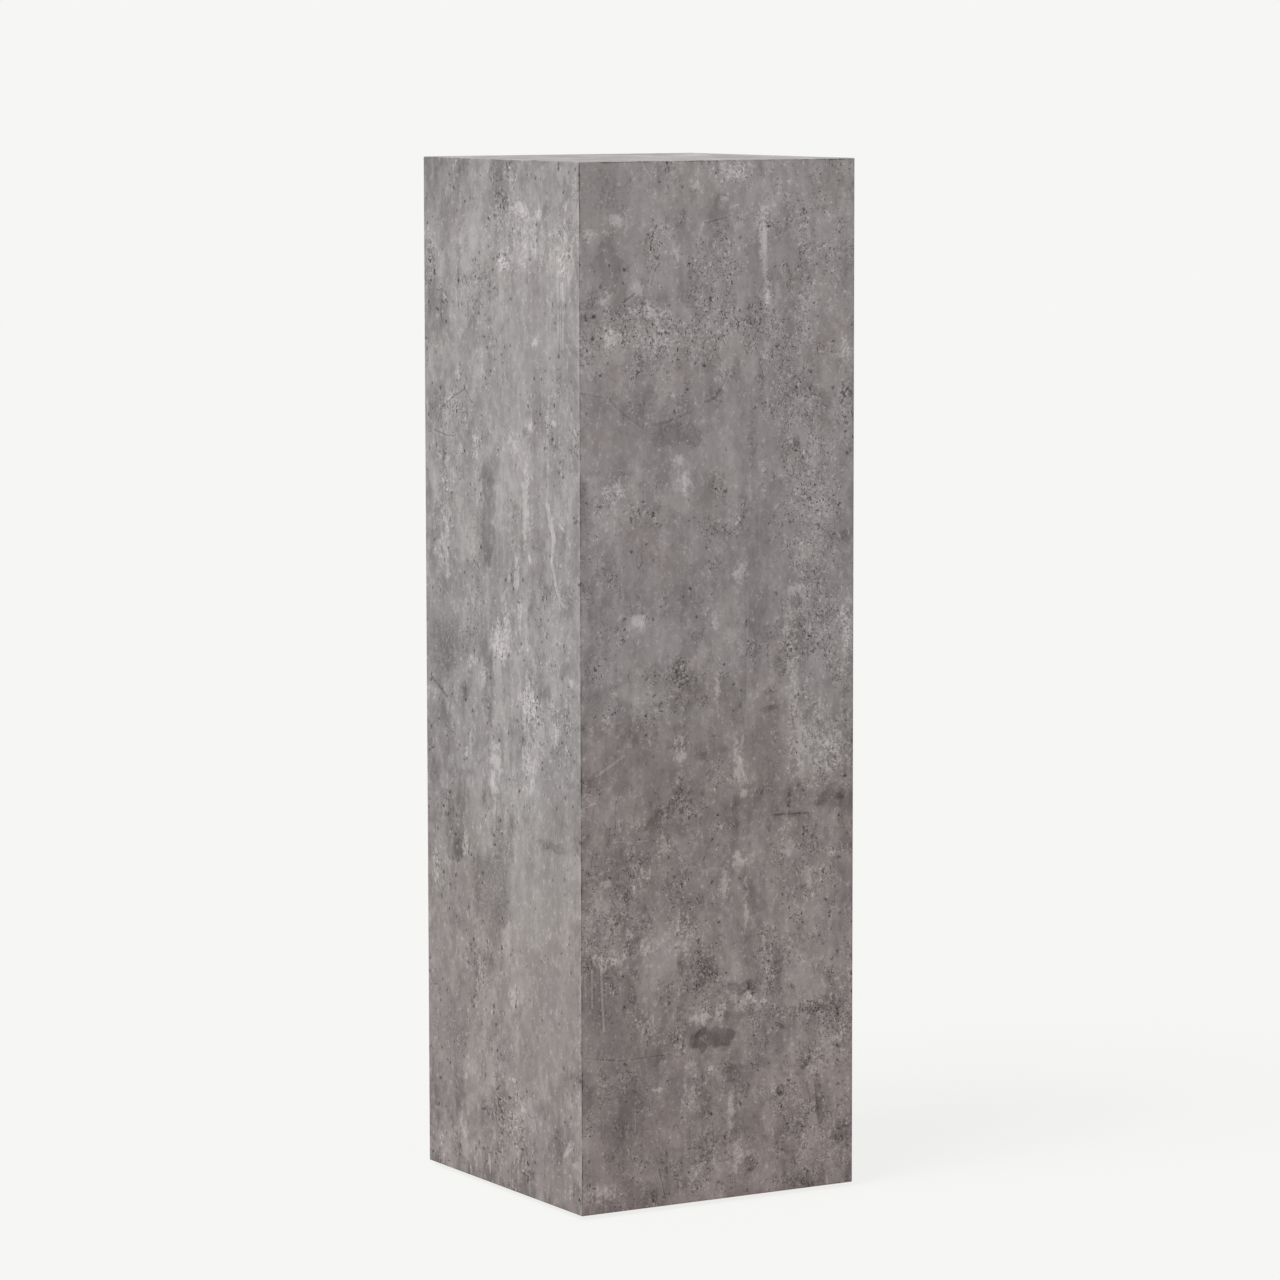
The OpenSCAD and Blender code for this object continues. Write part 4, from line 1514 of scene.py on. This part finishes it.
@dataclass(frozen=True)
class Studio:
    """The camera at the photograph's viewing angle, soft light from the upper left, and a pale floor."""

    camera_at: tuple[float, float, float] = (-2.6313, -4.4706, 1.1063)
    yaw: float = 0.5324
    pitch: float = 0.1105
    roll: float = -0.0018
    lens: float = 150.49
    backdrop: Colour = (0.922, 0.922, 0.905, 1)
    sky_white: Colour = (1, 1, 1, 1)
    sky: float = 0.40
    sun: float = 2.61
    sun_from: tuple[float, float, float] = (-0.425, -0.105, 0.707)
    sun_spread: float = 28.0
    floor_half: float = 14.0
    floor_bounce: Colour = (0.68, 0.68, 0.675, 1)
    shadow_share: float = 0.10

    def build(self) -> None:
        """Sets the view up."""
        self.add_camera()
        self.add_sun()
        self.add_sky()
        self.add_floor()
        bpy.context.scene.view_settings.view_transform = "Standard"

    def add_camera(self) -> None:
        """Looks yaw to the right of +Y and pitch down, and leans by roll."""
        camera = bpy.data.objects.new("camera", bpy.data.cameras.new("camera"))
        bpy.context.scene.collection.objects.link(camera)
        level = Euler((math.pi / 2 - self.pitch, 0, -self.yaw)).to_matrix()
        turned = level @ Matrix.Rotation(self.roll, 3, "Z")
        camera.matrix_world = Matrix.Translation(self.camera_at) @ turned.to_4x4()
        camera.data.lens = self.lens
        bpy.context.scene.camera = camera

    def add_sun(self) -> None:
        """A wide soft key light from the upper left."""
        sun = bpy.data.objects.new("key", bpy.data.lights.new("key", "SUN"))
        bpy.context.scene.collection.objects.link(sun)
        sun.data.energy = self.sun
        sun.data.angle = math.radians(self.sun_spread)
        sun.rotation_euler = Vector(self.sun_from).to_track_quat("Z", "Y").to_euler()

    def add_sky(self) -> None:
        """Even light all round. The camera, gloss and glass see the backdrop's colour instead."""
        bpy.context.scene.world = bpy.data.worlds.new("studio")
        tree = NodeTree(bpy.context.scene.world)
        camera, gloss, glass = tree.rays("Camera", "Glossy", "Transmission")
        seen = tree.maths("MAXIMUM", tree.maths("MAXIMUM", camera, gloss), glass)
        even = tree.node("ShaderNodeBackground", None, {"Color": self.sky_white, "Strength": self.sky})
        shown = tree.node("ShaderNodeBackground", None, {"Color": self.backdrop})
        mixed = tree.mix_shaders(seen, even, shown)
        tree.node("ShaderNodeOutputWorld", None, {"Surface": mixed.outputs[0]})

    def add_floor(self) -> None:
        """A pale floor that keeps a faint shadow of the pedestal."""
        half = self.floor_half
        mesh = bpy.data.meshes.new("floor")
        corners = [(-half, -half, 0), (half, -half, 0), (half, half, 0), (-half, half, 0)]
        mesh.from_pydata(corners, [], [(0, 1, 2, 3)])
        floor = bpy.data.objects.new("floor", mesh)
        bpy.context.scene.collection.objects.link(floor)
        mesh.materials.append(self.floor_material())

    def floor_material(self) -> bpy.types.Material:
        """Shows the backdrop's colour to the camera, less a share of the shadow that falls on it."""
        tree = NodeTree(bpy.data.materials.new("floor"))
        lit_level = self.sky + self.sun / math.pi * Vector(self.sun_from).normalized().z
        evened = tuple(part / lit_level for part in self.backdrop[:3]) + (1,)
        matt = tree.node("ShaderNodeBsdfDiffuse", None, {"Color": evened})
        glow = tree.node("ShaderNodeEmission", None, {"Color": self.backdrop})
        bounce = tree.node("ShaderNodeBsdfDiffuse", None, {"Color": self.floor_bounce})
        camera = tree.rays("Camera")[0]
        both = tree.mix_shaders(camera, bounce, tree.mix_shaders(self.shadow_share, glow, matt))
        tree.node("ShaderNodeOutputMaterial", None, {"Surface": both.outputs[0]})
        return tree.owner


def main() -> None:
    """Builds the studio, then each sub-assembly in order, and reports every piece."""
    logging.basicConfig(level=logging.INFO, format="%(name)s: %(message)s")
    Studio().build()
    for assembly in (LaminateCover(), BoardBox(), GlideSet()):
        for piece in assembly.build():
            faces = len(piece.data.polygons)
            log.info("%s: %s, %d faces", type(assembly).__name__, piece.name, faces)


if __name__ == "__main__":
    main()
